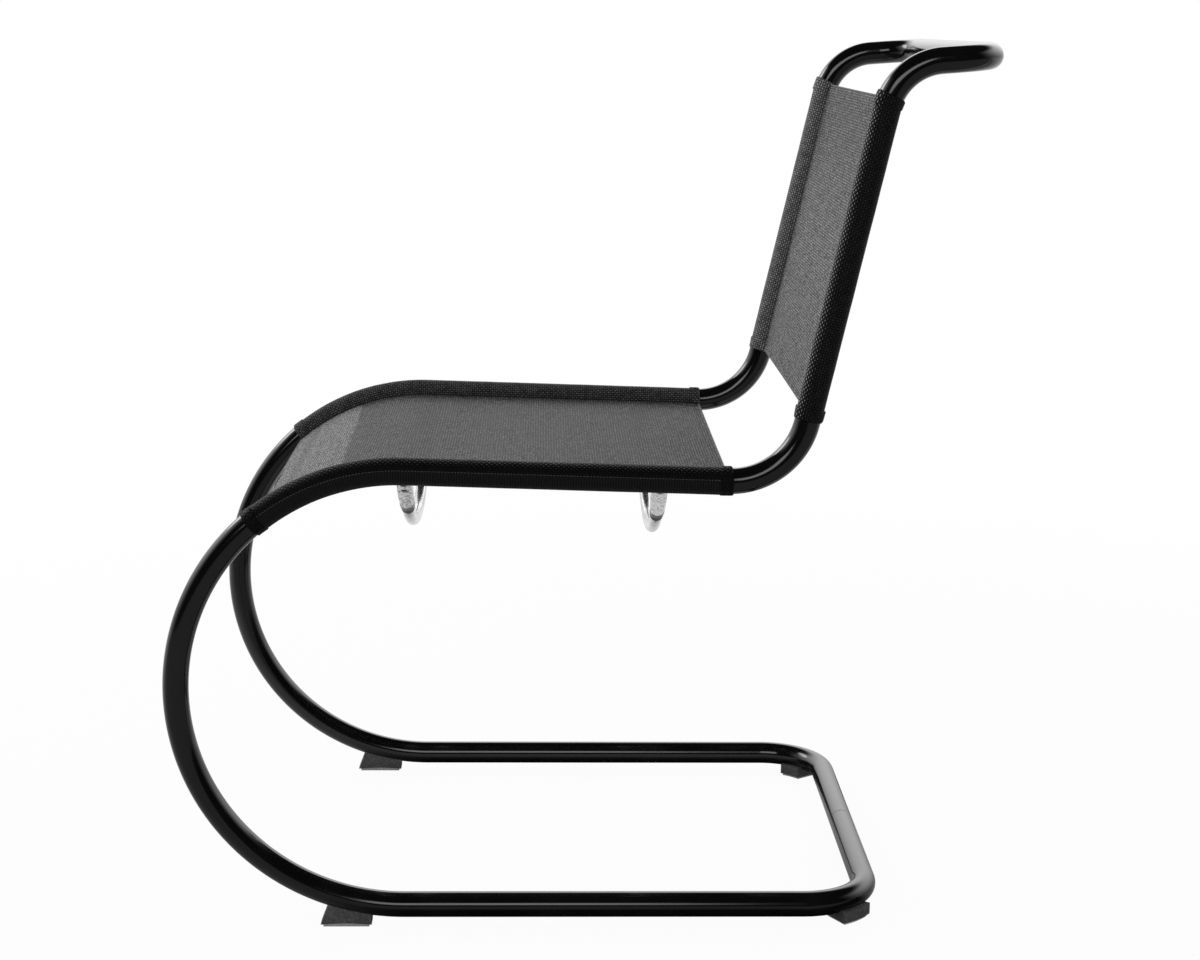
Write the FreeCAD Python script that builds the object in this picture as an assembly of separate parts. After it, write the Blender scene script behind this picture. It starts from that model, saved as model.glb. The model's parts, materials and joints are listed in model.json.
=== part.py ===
import FreeCAD, Part
import math
import os

# Cantilever side chair: one bent tube carries a woven seat sling and a woven back sling.
# Two bowed braces under the seat hold the rails apart, and four glides meet the floor.
# Millimetres, +Z up, the sitter faces -Y, the origin is on the floor below the chair's middle.

# Frame tube
TUBE_DIAMETER = 25.0
TUBE_WALL = 2.0
FRAME_WIDTH = 500.0
SEAM_GAP = 0.3

# Side profile, measured along the tube's axis, from the rear of the base to the top
FLOOR_TO_TUBE = 8.5
BASE_STRAIGHT = 393.0
BASE_CORNER_RADIUS = 68.0
LOOP_RADIUS = 217.5
LOOP_TURN = 128.3
CREST_RADIUS = 213.5
SEAT_FALL = 1.5
SEAT_STRAIGHT = 308.5
LUMBAR_RADIUS = 73.0
BACK_LEAN = 12.6
BACK_STRAIGHT = 301.0
TOP_RADIUS = 56.0
TOP_RISE = 4.5
TOP_STRAIGHT = 8.5
TOP_CORNER_RADIUS = 42.0

# Plug and screws inside the seam of the base cross tube
PLUG_LENGTH = 100.0
PLUG_BORE_RADIUS = 7.5
PLUG_CLEARANCE = 0.1
PLUG_SCREW_SPACING = 60.0
PLUG_SCREW_RADIUS = 2.5
PLUG_SCREW_HEAD_RADIUS = 4.6
PLUG_SCREW_LENGTH = 7.0

# Woven slings: sleeves round the rails, a panel between them
CLOTH = 1.1
SLEEVE_CLEARANCE = 0.3
HEM_CLOTH = 1.2
HEM_BAND = 12.0
PANEL_CLOTH = 1.2
PANEL_SET_BACK = 3.0
PANEL_HEM = 10.0
PANEL_HEM_CLOTH = 0.8
SEW_CLEARANCE = 0.3
SEAT_SLEEVE_FRONT_LAP = 158.5
SEAT_SLEEVE_REAR_LAP = 6.0
SEAT_PANEL_INSET = 3.0
BACK_SLEEVE_BOTTOM_GAP = 2.0
BACK_SLEEVE_TOP_LAP = 9.0
BACK_PANEL_INSET = 3.0
BINDING_CLOTH = 0.6
BINDING_TOP_ANGLE = 165.0
BINDING_BOTTOM_ANGLE = 272.0

# Bowed braces under the seat
BRACE_FRONT_OFFSET = 0.0
BRACE_REAR_OFFSET = 244.0
BRACE_SAG = 90.0
ROD_RADIUS = 6.0
ROD_SOCKET_DEPTH = 34.0
COLLAR_LENGTH = 54.0
COLLAR_WIDEST_RADIUS = 7.8
COLLAR_END_RADIUS = 7.2
COLLAR_WIDEST_SHARE = 0.3
COLLAR_STATIONS = 4
LOCK_RING_LENGTH = 7.5
LOCK_RING_RADIUS = 7.3
BUSH_LENGTH = 12.5
BUSH_TOP_RADIUS = 7.2
BUSH_END_RADIUS = 6.5
SADDLE_LENGTH = 2.5
SADDLE_RADIUS = 6.6
STUD_RADIUS = 3.0
STUD_IN_RAIL = 8.0
STUD_IN_COLLAR = 16.0
INSERT_RADIUS = 4.5
INSERT_BULGE_RADIUS = 5.4
INSERT_BULGE_LENGTH = 2.0
INSERT_LENGTH = 9.5
LOCK_SCREW_RADIUS = 3.0
LOCK_SCREW_SETBACK = 9.5
LOCK_SCREW_SOCKET_RADIUS = 1.6
LOCK_SCREW_SINK = 1.0
FIT_CLEARANCE = 0.05
SEAT_CLEARANCE = 0.15

# Glides and their floor pads
FRONT_GLIDE_LENGTH = 50.0
FRONT_GLIDE_WIDTH = 16.4
FRONT_GLIDE_AHEAD = 56.3
FRONT_GLIDE_NOSE_SLANT = 10.0
FRONT_GLIDE_TAIL_SLANT = 1.2
REAR_GLIDE_MIDDLE = 42.0
REAR_GLIDE_SPAN = 27.5
REAR_GLIDE_WIDTH = 32.5
REAR_GLIDE_RIM = 5.5
PAD_HEIGHT = 2.8
PAD_ARCH = 1.4
PAD_INSET = 5.0
GLIDE_SCREW_RADIUS = 1.8
GLIDE_SCREW_HEAD_RADIUS = 3.6
GLIDE_SCREW_HEAD_LENGTH = 2.4
GLIDE_SCREW_PAST_WALL = 3.0
GLIDE_SCREW_SINK = 0.5
GLIDE_EDGE = 0.8

# Sizes that follow from the ones above
TUBE_RADIUS = TUBE_DIAMETER / 2
TUBE_BORE_RADIUS = TUBE_RADIUS - TUBE_WALL
RAIL_X = FRAME_WIDTH / 2 - TUBE_RADIUS
BASE_Z = FLOOR_TO_TUBE + TUBE_RADIUS
SLEEVE_INNER_RADIUS = TUBE_RADIUS + SLEEVE_CLEARANCE
SLEEVE_RADIUS = SLEEVE_INNER_RADIUS + CLOTH
HEM_RADIUS = SLEEVE_RADIUS + HEM_CLOTH
BINDING_RADIUS = SLEEVE_RADIUS + BINDING_CLOTH
COLLAR_START = SLEEVE_RADIUS + SADDLE_LENGTH
COLLAR_END = COLLAR_START + COLLAR_LENGTH
STUD_LENGTH = STUD_IN_RAIL + COLLAR_START - TUBE_RADIUS + STUD_IN_COLLAR
PANEL_HALF_WIDTH = RAIL_X - SEW_CLEARANCE - math.sqrt(HEM_RADIUS ** 2 - PANEL_SET_BACK ** 2)

X = FreeCAD.Vector(1, 0, 0)
Y = FreeCAD.Vector(0, 1, 0)
Z = FreeCAD.Vector(0, 0, 1)
ORIGIN = FreeCAD.Vector(0, 0, 0)
INBOARD = -X


class Run:
    """One straight or one arc of a path, with its start, heading and length."""

    def __init__(self, start, heading, length, radius=None, towards=None):
        self.start = FreeCAD.Vector(start)
        self.heading = FreeCAD.Vector(heading).normalize()
        self.length = length
        self.radius = radius
        self.towards = towards
        if radius is not None:
            self.centre = self.start + FreeCAD.Vector(towards).normalize() * radius
            self.axis = self.heading.cross(self.centre - self.start).normalize()

    def turned(self, vector, distance):
        """A vector turned as far as the arc turns over a distance."""
        return FreeCAD.Rotation(self.axis, math.degrees(distance / self.radius)).multVec(vector)

    def point(self, distance):
        """The point at a distance from the start."""
        if self.radius is None:
            return self.start + self.heading * distance
        return self.centre + self.turned(self.start - self.centre, distance)

    def direction(self, distance):
        """The heading at a distance from the start."""
        if self.radius is None:
            return FreeCAD.Vector(self.heading)
        return self.turned(self.heading, distance)

    def part(self, first, last):
        """The stretch of this run between two distances."""
        if self.radius is None:
            return Run(self.point(first), self.heading, last - first)
        start = self.point(first)
        return Run(start, self.direction(first), last - first, self.radius, self.centre - start)

    def sweep(self, face):
        """The solid that a face, already placed at the start, makes along this run."""
        if self.radius is None:
            return face.extrude(self.heading * self.length)
        return face.revolve(self.centre, self.axis, math.degrees(self.length / self.radius))


class Path:
    """Straights and arcs, each tangent to the one before it."""

    def __init__(self, start, heading):
        self.runs = []
        self.end = FreeCAD.Vector(start)
        self.heading = FreeCAD.Vector(heading).normalize()

    def add(self, run):
        self.runs.append(run)
        self.end = run.point(run.length)
        self.heading = run.direction(run.length)
        return self

    def straight(self, length):
        return self.add(Run(self.end, self.heading, length))

    def bend(self, radius, degrees, towards):
        """Turn by an angle towards a side that lies square to the heading."""
        square = towards - self.heading * towards.dot(self.heading)
        return self.add(Run(self.end, self.heading, math.radians(degrees) * radius, radius, square))

    def length(self):
        return sum(run.length for run in self.runs)

    def mark(self, count):
        """The distance along the path at the end of its first runs."""
        return sum(run.length for run in self.runs[:count])

    def at(self, distance):
        """The point and heading at a distance along the path."""
        for run in self.runs:
            if distance <= run.length or run is self.runs[-1]:
                return run.point(distance), run.direction(distance)
            distance -= run.length

    def part(self, first, last):
        """The stretch of the path between two distances."""
        result = None
        passed = 0.0
        for run in self.runs:
            low = max(first - passed, 0.0)
            high = min(last - passed, run.length)
            if high - low > 1e-6:
                piece = run.part(low, high)
                result = result or Path(piece.start, piece.heading)
                result.add(piece)
            passed += run.length
        return result

    def sweep(self, section, side=None):
        """The solid of one section along the path, its first axis along the given side."""
        solids = [run.sweep(placed(section, run.start, run.heading, side)) for run in self.runs]
        return joined(solids)


def placed(section, point, heading, side=None):
    """A copy of a flat section, moved to a point and turned square to a heading."""
    if side is None:
        side = Z if abs(heading.dot(Z)) < 0.7 else X
    side = (side - heading * side.dot(heading)).normalize()
    up = heading.cross(side)
    copy = section.copy()
    copy.Placement = FreeCAD.Placement(point, FreeCAD.Rotation(side, up, heading, "ZXY"))
    return copy


def joined(solids):
    """One shape from solids that touch or overlap."""
    if len(solids) == 1:
        return solids[0]
    return solids[0].multiFuse(solids[1:]).removeSplitter()


def disc(radius):
    """A round section."""
    return Part.Face(Part.Wire(Part.makeCircle(radius)))


def ring(outer, inner):
    """A ring-shaped section."""
    return disc(outer).cut(disc(inner)).Faces[0]


def arc_band(outer, inner, first, last):
    """A section of a ring between two angles."""
    edges = []
    ends = []
    for radius in (outer, inner):
        start, middle, end = (
            FreeCAD.Vector(radius * math.cos(math.radians(a)), radius * math.sin(math.radians(a)), 0)
            for a in (first, (first + last) / 2, last)
        )
        edges.append(Part.Arc(start, middle, end).toShape())
        ends.append((start, end))
    for outside, inside in zip(*ends):
        edges.append(Part.makeLine(outside, inside))
    return Part.Face(Part.Wire(Part.__sortEdges__(edges)))


def strip(half_width, low, high):
    """A flat oblong section, across the chair."""
    corners = [(-half_width, low), (half_width, low), (half_width, high), (-half_width, high)]
    points = [FreeCAD.Vector(u, v, 0) for u, v in corners]
    return Part.Face(Part.makePolygon(points + points[:1]))


def rod(radius, start, direction, length):
    """A round bar from a point, along a direction."""
    return Part.makeCylinder(radius, length, start, direction)


def mirrored(shape):
    """The same shape on the other side of the chair."""
    return shape.mirror(ORIGIN, X)


def group(shapes):
    """Separate solids kept together as one piece."""
    return Part.makeCompound([solid for shape in shapes for solid in shape.Solids])


def side_path(x):
    """The axis of one side of the frame, from the base's rear corner to the top corner."""
    path = Path(FreeCAD.Vector(x, 0, BASE_Z), -Y)
    path.straight(BASE_STRAIGHT)
    path.bend(LOOP_RADIUS, LOOP_TURN, Z)
    path.bend(CREST_RADIUS, 180 - LOOP_TURN + SEAT_FALL, Y)
    path.straight(SEAT_STRAIGHT)
    path.bend(LUMBAR_RADIUS, 90 - BACK_LEAN + SEAT_FALL, Z)
    path.straight(BACK_STRAIGHT)
    path.bend(TOP_RADIUS, 90 - BACK_LEAN - TOP_RISE, Y)
    path.straight(TOP_STRAIGHT)
    return path


def moved_path(path, shift):
    """The same path, moved."""
    result = Path(path.runs[0].start + shift, path.runs[0].heading)
    for run in path.runs:
        towards = None if run.radius is None else run.centre - run.start
        result.add(Run(run.start + shift, run.heading, run.length, run.radius, towards))
    return result


def centred_side(x):
    """The side's axis, placed so that the whole frame is centred front to back."""
    path = side_path(x)
    loop = path.runs[1]
    front = loop.centre.y - LOOP_RADIUS - TUBE_RADIUS
    rear = path.end.y + TOP_CORNER_RADIUS * path.heading.y + TUBE_RADIUS
    return moved_path(path, FreeCAD.Vector(0, -(front + rear) / 2, 0))


SIDE = centred_side(RAIL_X)
LOOP_START = SIDE.mark(1)
SEAT_START = SIDE.mark(3)
SEAT_END = SIDE.mark(4)
BACK_START = SIDE.mark(5)
BACK_END = SIDE.mark(6)
MIDDLE = centred_side(0.0)
BASE_CORNER = FreeCAD.Vector(RAIL_X - BASE_CORNER_RADIUS, SIDE.runs[0].start.y, BASE_Z)


def half_frame_path():
    """The axis of the left half of the frame, from the base seam to the middle of the top."""
    corner_start = BASE_CORNER + Y * BASE_CORNER_RADIUS
    path = Path(FreeCAD.Vector(SEAM_GAP / 2, corner_start.y, BASE_Z), X)
    path.straight(corner_start.x - SEAM_GAP / 2)
    path.bend(BASE_CORNER_RADIUS, 90, -Y)
    for run in SIDE.runs:
        path.add(run)
    path.bend(TOP_CORNER_RADIUS, 90, INBOARD)
    path.straight(path.end.x)
    return path


def brace_path(offset):
    """The axis of a brace, a single bow from one rail's axis to the other's."""
    top, heading = SIDE.at(SEAT_START + offset)
    radius = (RAIL_X ** 2 + BRACE_SAG ** 2) / (2 * BRACE_SAG)
    angle = math.asin(RAIL_X / radius)
    start_heading = FreeCAD.Vector(-math.cos(angle), 0, -math.sin(angle))
    return Path(top, start_heading).bend(radius, math.degrees(2 * angle), Z)


def fixing_axis(path):
    """The line of a brace's stud: a point where it leaves the rail, and its direction."""
    return path.at(SLEEVE_RADIUS)


def stud_start(path):
    """The inner end of the stud, inside the rail."""
    point, direction = fixing_axis(path)
    return point - direction * (SLEEVE_RADIUS - TUBE_RADIUS + STUD_IN_RAIL)


def lock_screw_axis(path):
    """The line of the screw that locks the collar: below on the front brace, above on the rear one."""
    point, direction = path.at(COLLAR_START + LOCK_SCREW_SETBACK)
    below = direction.cross(Y)
    return point, below if path is BRACES["front"] else -below


def front_glide_y():
    """The middle of a front glide, ahead of the start of the loop."""
    return SIDE.at(LOOP_START)[0].y - FRONT_GLIDE_AHEAD


def rear_glide_middle():
    """The point of the tube's axis above the middle of a rear glide."""
    angle = math.radians(REAR_GLIDE_MIDDLE)
    return BASE_CORNER + FreeCAD.Vector(math.cos(angle), math.sin(angle), 0) * BASE_CORNER_RADIUS


def glide_screw_lines():
    """For each left glide, the screw's point on the floor line and the tube's underside there."""
    loop = SIDE.runs[1]
    ahead = loop.centre.y - front_glide_y()
    front_under = loop.centre.z - math.sqrt((LOOP_RADIUS + TUBE_RADIUS) ** 2 - ahead ** 2)
    middle = rear_glide_middle()
    return [
        (FreeCAD.Vector(RAIL_X, front_glide_y(), 0), front_under),
        (FreeCAD.Vector(middle.x, middle.y, 0), FLOOR_TO_TUBE),
    ]


def plug_screw(clearance=0.0):
    """A countersunk screw that holds the seam's plug from below, on the left of the seam."""
    seam_y = BASE_CORNER.y + BASE_CORNER_RADIUS
    foot = FreeCAD.Vector(PLUG_SCREW_SPACING / 2, seam_y, FLOOR_TO_TUBE)
    head_depth = PLUG_SCREW_HEAD_RADIUS - PLUG_SCREW_RADIUS
    head = Part.makeCone(PLUG_SCREW_HEAD_RADIUS + clearance, PLUG_SCREW_RADIUS + clearance,
                         head_depth, foot + Z * GLIDE_SCREW_SINK, Z)
    shank = rod(PLUG_SCREW_RADIUS + clearance, foot + Z * GLIDE_SCREW_SINK, Z, PLUG_SCREW_LENGTH)
    return joined([head, shank])


def plug_screw_hole():
    """The room that a plug screw needs, out through the tube's underside."""
    hole = plug_screw(FIT_CLEARANCE)
    seam_y = BASE_CORNER.y + BASE_CORNER_RADIUS
    mouth = rod(PLUG_SCREW_HEAD_RADIUS + FIT_CLEARANCE, FreeCAD.Vector(PLUG_SCREW_SPACING / 2, seam_y, 0),
                Z, FLOOR_TO_TUBE + GLIDE_SCREW_SINK)
    return joined([hole, mouth])


def frame_tube():
    """The whole frame: one tube, bent in its length, whose ends meet at the base seam."""
    path = half_frame_path()
    half = path.sweep(ring(TUBE_RADIUS, TUBE_BORE_RADIUS))
    tools = [plug_screw_hole()]
    for brace in BRACES.values():
        point, direction = fixing_axis(brace)
        start = point - direction * TUBE_RADIUS
        tools.append(rod(INSERT_RADIUS + FIT_CLEARANCE, start, direction, 2 * TUBE_RADIUS))
    for foot, under in glide_screw_lines():
        tools.append(rod(GLIDE_SCREW_RADIUS + FIT_CLEARANCE, foot, Z, under + TUBE_RADIUS))
    half = half.cut(tools)
    whole = joined([half, mirrored(half)])
    expected = math.pi * (TUBE_RADIUS ** 2 - TUBE_BORE_RADIUS ** 2) * 2 * path.length()
    print("frame tube length", round(2 * path.length()), "volume against section x length",
          round(whole.Volume / expected, 4))
    return whole


def seam_plug():
    """The sleeve inside the base cross tube that joins the frame's two ends."""
    seam_y = BASE_CORNER.y + BASE_CORNER_RADIUS
    start = FreeCAD.Vector(-PLUG_LENGTH / 2, seam_y, BASE_Z)
    plug = rod(TUBE_BORE_RADIUS - PLUG_CLEARANCE, start, X, PLUG_LENGTH)
    plug = plug.cut(rod(PLUG_BORE_RADIUS, start, X, PLUG_LENGTH))
    hole = plug_screw(FIT_CLEARANCE)
    return plug.cut([hole, mirrored(hole)])


def seam_screws():
    """The two screws that hold the seam's plug."""
    screw = plug_screw()
    socket_foot = screw.BoundBox.Center
    socket_foot.z = screw.BoundBox.ZMin
    socket = rod(PLUG_SCREW_RADIUS / 2, socket_foot, Z, PLUG_SCREW_RADIUS)
    screw = screw.cut(socket)
    return group([screw, mirrored(screw)])


def sleeve(first, last):
    """A sleeve of cloth round the left rail, with a folded hem band at each end."""
    body = SIDE.part(first, last).sweep(ring(SLEEVE_RADIUS, SLEEVE_INNER_RADIUS), INBOARD)
    bands = [
        SIDE.part(low, high).sweep(ring(HEM_RADIUS, SLEEVE_INNER_RADIUS), INBOARD)
        for low, high in ((first, first + HEM_BAND), (last - HEM_BAND, last))
    ]
    return joined([body] + bands)


def seat_sleeve():
    """The left sleeve of the seat sling, open where the braces' fixings pass through it."""
    cloth = sleeve(SEAT_START - SEAT_SLEEVE_FRONT_LAP, SEAT_END + SEAT_SLEEVE_REAR_LAP)
    holes = []
    for brace in BRACES.values():
        point, direction = fixing_axis(brace)
        start = point - direction * (SLEEVE_RADIUS / 2)
        holes.append(rod(INSERT_RADIUS, start, direction, SLEEVE_RADIUS))
    return cloth.cut(holes)


def back_sleeve():
    """The left sleeve of the back sling."""
    return sleeve(BACK_START + BACK_SLEEVE_BOTTOM_GAP, BACK_END + BACK_SLEEVE_TOP_LAP)


def seat_binding():
    """The flap of cloth that closes the seat sleeve along its outer and lower side."""
    first = SEAT_START - SEAT_SLEEVE_FRONT_LAP + HEM_BAND + SEW_CLEARANCE
    last = SEAT_END + SEAT_SLEEVE_REAR_LAP - HEM_BAND - SEW_CLEARANCE
    inner = SLEEVE_RADIUS + FIT_CLEARANCE
    section = arc_band(BINDING_RADIUS, inner, BINDING_TOP_ANGLE, BINDING_BOTTOM_ANGLE)
    return SIDE.part(first, last).sweep(section, INBOARD)


def panel(first, last):
    """A panel of cloth between the rails, set back from their axes, with a hem at each end."""
    low = -PANEL_SET_BACK - PANEL_CLOTH / 2
    high = low + PANEL_CLOTH
    solids = [MIDDLE.part(first, last).sweep(strip(PANEL_HALF_WIDTH, low, high), INBOARD)]
    hem = strip(PANEL_HALF_WIDTH, low - PANEL_HEM_CLOTH, high)
    for start, end in ((first, first + PANEL_HEM), (last - PANEL_HEM, last)):
        solids.append(MIDDLE.part(start, end).sweep(hem, INBOARD))
    return joined(solids)


def seat_panel():
    """The woven seat, from the loops' crest to the start of the lumbar bend."""
    first = SEAT_START - SEAT_SLEEVE_FRONT_LAP + SEAT_PANEL_INSET
    return panel(first, SEAT_END + SEAT_SLEEVE_REAR_LAP - SEAT_PANEL_INSET)


def back_panel():
    """The woven back."""
    first = BACK_START + BACK_SLEEVE_BOTTOM_GAP + BACK_PANEL_INSET
    return panel(first, BACK_END + BACK_SLEEVE_TOP_LAP - BACK_PANEL_INSET)


def round_taper(path, first, stations):
    """A round solid along the brace, through (distance from its first end, radius) stations."""
    wires = []
    for distance, radius in stations:
        point, heading = path.at(first + distance)
        wires.append(Part.Wire(placed(Part.makeCircle(radius), point, heading, Y)))
    return Part.makeLoft(wires, True)


def brace_rod(path):
    """The bowed rod of a brace, socketed in a collar at each end."""
    first = COLLAR_END - ROD_SOCKET_DEPTH
    return path.part(first, path.length() - first).sweep(disc(ROD_RADIUS))


def brace_saddle(path):
    """The domed washer between a rail and its collar, hollowed to the rail's sleeve."""
    point, direction = fixing_axis(path)
    solid = rod(SADDLE_RADIUS, point - direction * SADDLE_RADIUS, direction,
                SADDLE_RADIUS + SADDLE_LENGTH - SEAT_CLEARANCE)
    solid = solid.cut(rod(STUD_RADIUS + FIT_CLEARANCE, stud_start(path), direction, STUD_LENGTH))
    near = SEAT_START - 3 * SADDLE_RADIUS
    rail = SIDE.part(near, SEAT_END).sweep(disc(SLEEVE_RADIUS + SEAT_CLEARANCE), INBOARD)
    return solid.cut(rail)


def collar_radius(share):
    """The radius of a collar at a share of its length: a shallow barrel."""
    reach = (share - COLLAR_WIDEST_SHARE) / (1 - COLLAR_WIDEST_SHARE)
    return COLLAR_WIDEST_RADIUS - (COLLAR_WIDEST_RADIUS - COLLAR_END_RADIUS) * reach ** 2


def brace_collar(path):
    """The barrel at a brace's end: stud in its top, rod in its lower end, locked by a screw."""
    shares = [step / COLLAR_STATIONS for step in range(COLLAR_STATIONS + 1)]
    body = round_taper(path, COLLAR_START, [(COLLAR_LENGTH * s, collar_radius(s)) for s in shares])
    socket = path.part(COLLAR_END - ROD_SOCKET_DEPTH, COLLAR_END + ROD_RADIUS)
    direction = fixing_axis(path)[1]
    bore = rod(STUD_RADIUS + FIT_CLEARANCE, stud_start(path), direction, STUD_LENGTH + FIT_CLEARANCE)
    lock_point, outwards = lock_screw_axis(path)
    lock = rod(LOCK_SCREW_RADIUS + FIT_CLEARANCE, lock_point, outwards, 2 * COLLAR_WIDEST_RADIUS)
    return body.cut([socket.sweep(disc(ROD_RADIUS + FIT_CLEARANCE)), bore, lock])


def brace_lock_ring(path):
    """The knurled ring below a collar."""
    first = COLLAR_END + SEAT_CLEARANCE
    section = ring(LOCK_RING_RADIUS, ROD_RADIUS + FIT_CLEARANCE)
    return path.part(first, first + LOCK_RING_LENGTH).sweep(section)


def brace_bush(path):
    """The soft tapered bush that closes the gap between a lock ring and the rod."""
    first = COLLAR_END + LOCK_RING_LENGTH + 2 * SEAT_CLEARANCE
    body = round_taper(path, first, [(0, BUSH_TOP_RADIUS), (BUSH_LENGTH, BUSH_END_RADIUS)])
    bore = path.part(first - ROD_RADIUS, first + BUSH_LENGTH + ROD_RADIUS)
    return body.cut(bore.sweep(disc(ROD_RADIUS + FIT_CLEARANCE)))


def brace_stud(path):
    """The threaded stud that joins a collar to the rail."""
    return rod(STUD_RADIUS, stud_start(path), fixing_axis(path)[1], STUD_LENGTH)


def rail_insert(path):
    """The threaded insert in a rail, clinched behind the tube's wall."""
    point, direction = fixing_axis(path)
    mouth = point - direction * (SLEEVE_RADIUS - TUBE_RADIUS + SEAT_CLEARANCE)
    body = rod(INSERT_RADIUS, mouth, -direction, INSERT_LENGTH)
    behind_wall = TUBE_RADIUS - math.sqrt(TUBE_BORE_RADIUS ** 2 - INSERT_BULGE_RADIUS ** 2)
    bulge = rod(INSERT_BULGE_RADIUS, mouth - direction * behind_wall, -direction, INSERT_BULGE_LENGTH)
    bore = rod(STUD_RADIUS + FIT_CLEARANCE, mouth, -direction, INSERT_LENGTH)
    return joined([body, bulge]).cut(bore)


def collar_screw(path):
    """The short screw that locks a collar on its stud."""
    point, outwards = lock_screw_axis(path)
    start = STUD_RADIUS + SEAT_CLEARANCE
    length = COLLAR_END_RADIUS - LOCK_SCREW_SINK - start
    screw = rod(LOCK_SCREW_RADIUS, point + outwards * start, outwards, length)
    socket_start = point + outwards * (start + length / 2)
    return screw.cut(rod(LOCK_SCREW_SOCKET_RADIUS, socket_start, outwards, length))


def tube_room():
    """The outside of the left base rail, corner and loop, with a seating clearance."""
    section = disc(TUBE_RADIUS + FIT_CLEARANCE)
    path = half_frame_path()
    return path.part(0, path.mark(4)).sweep(section)


def pad_arch(low_y, high_y, x, half_width):
    """The shallow arch under a glide, as a lying cylinder's end."""
    half = (high_y - low_y) / 2
    radius = (half ** 2 + PAD_ARCH ** 2) / (2 * PAD_ARCH)
    centre = FreeCAD.Vector(x - half_width, (low_y + high_y) / 2, PAD_HEIGHT + PAD_ARCH - radius)
    return Part.makeCylinder(radius, 2 * half_width, centre, X)


def front_glide_outline(inset, low, high, slants=True):
    """The side outline of a front glide as an upright prism."""
    middle = front_glide_y()
    half = FRONT_GLIDE_LENGTH / 2 - inset
    nose = FRONT_GLIDE_NOSE_SLANT if slants else 0.0
    tail = FRONT_GLIDE_TAIL_SLANT if slants else 0.0
    corners = [(middle - half, low), (middle + half, low),
               (middle + half + tail, high), (middle - half + nose, high)]
    x = RAIL_X - FRONT_GLIDE_WIDTH / 2 + inset
    points = [FreeCAD.Vector(x, y, z) for y, z in corners]
    face = Part.Face(Part.makePolygon(points + points[:1]))
    return face.extrude(X * (FRONT_GLIDE_WIDTH - 2 * inset))


def rear_glide_outline(inset, low, high):
    """The plan outline of a rear glide, a curved block that follows the base's corner."""
    half_angle = REAR_GLIDE_SPAN / 2 - math.degrees(inset / BASE_CORNER_RADIUS)
    outer = BASE_CORNER_RADIUS + REAR_GLIDE_WIDTH / 2 - inset
    inner = BASE_CORNER_RADIUS - REAR_GLIDE_WIDTH / 2 + inset
    section = arc_band(outer, inner, REAR_GLIDE_MIDDLE - half_angle, REAR_GLIDE_MIDDLE + half_angle)
    section.Placement = FreeCAD.Placement(FreeCAD.Vector(BASE_CORNER.x, BASE_CORNER.y, low), FreeCAD.Rotation())
    return section.extrude(Z * (high - low))


def softened(shape, radius):
    """The shape with its upright edges rounded."""
    edges = [edge for edge in shape.Edges if abs(edge.tangentAt(edge.FirstParameter).dot(Z)) > 0.8]
    return shape.makeFillet(radius, edges)


def glide_screw(foot, under, clearance=0.0, past=GLIDE_SCREW_PAST_WALL):
    """A pan-head screw up through a glide into the tube's wall."""
    low = PAD_HEIGHT + PAD_ARCH + GLIDE_SCREW_SINK
    head = rod(GLIDE_SCREW_HEAD_RADIUS + clearance, foot + Z * low, Z, GLIDE_SCREW_HEAD_LENGTH)
    shank = rod(GLIDE_SCREW_RADIUS + clearance, foot + Z * low, Z, under + TUBE_WALL + past - low)
    return joined([head, shank])


def glide_screw_room(foot, under):
    """The counterbore and hole that a glide's screw needs."""
    low = PAD_HEIGHT + PAD_ARCH + GLIDE_SCREW_SINK
    mouth = rod(GLIDE_SCREW_HEAD_RADIUS + FIT_CLEARANCE, foot, Z, low)
    return joined([glide_screw(foot, under, FIT_CLEARANCE), mouth])


def front_glide():
    """A wedge-shaped glide under the start of the loop."""
    foot, under = glide_screw_lines()[0]
    half = FRONT_GLIDE_LENGTH / 2
    arch = pad_arch(foot.y - half, foot.y + half, RAIL_X, FRONT_GLIDE_WIDTH)
    block = softened(front_glide_outline(0, PAD_HEIGHT, BASE_Z + FLOOR_TO_TUBE), GLIDE_EDGE)
    return block.cut([tube_room(), arch, glide_screw_room(foot, under)])


def front_pad():
    """The floor pad under a front glide."""
    foot, under = glide_screw_lines()[0]
    half = FRONT_GLIDE_LENGTH / 2
    arch = pad_arch(foot.y - half, foot.y + half, RAIL_X, FRONT_GLIDE_WIDTH)
    block = front_glide_outline(PAD_INSET / 2, 0, PAD_HEIGHT + PAD_ARCH, slants=False)
    return block.common(arch)


def rear_glide():
    """A curved glide under the base's rear corner."""
    foot, under = glide_screw_lines()[1]
    block = softened(rear_glide_outline(0, PAD_HEIGHT, FLOOR_TO_TUBE + REAR_GLIDE_RIM), GLIDE_EDGE)
    return block.cut([tube_room(), glide_screw_room(foot, under)])


def rear_pad():
    """The floor pad under a rear glide."""
    return rear_glide_outline(PAD_INSET / 2, 0, PAD_HEIGHT)


def glide_screws():
    """The four screws of the glides."""
    left = [glide_screw(foot, under) for foot, under in glide_screw_lines()]
    return group(left + [mirrored(screw) for screw in left])


BRACES = {"front": brace_path(BRACE_FRONT_OFFSET), "rear": brace_path(BRACE_REAR_OFFSET)}


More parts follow.
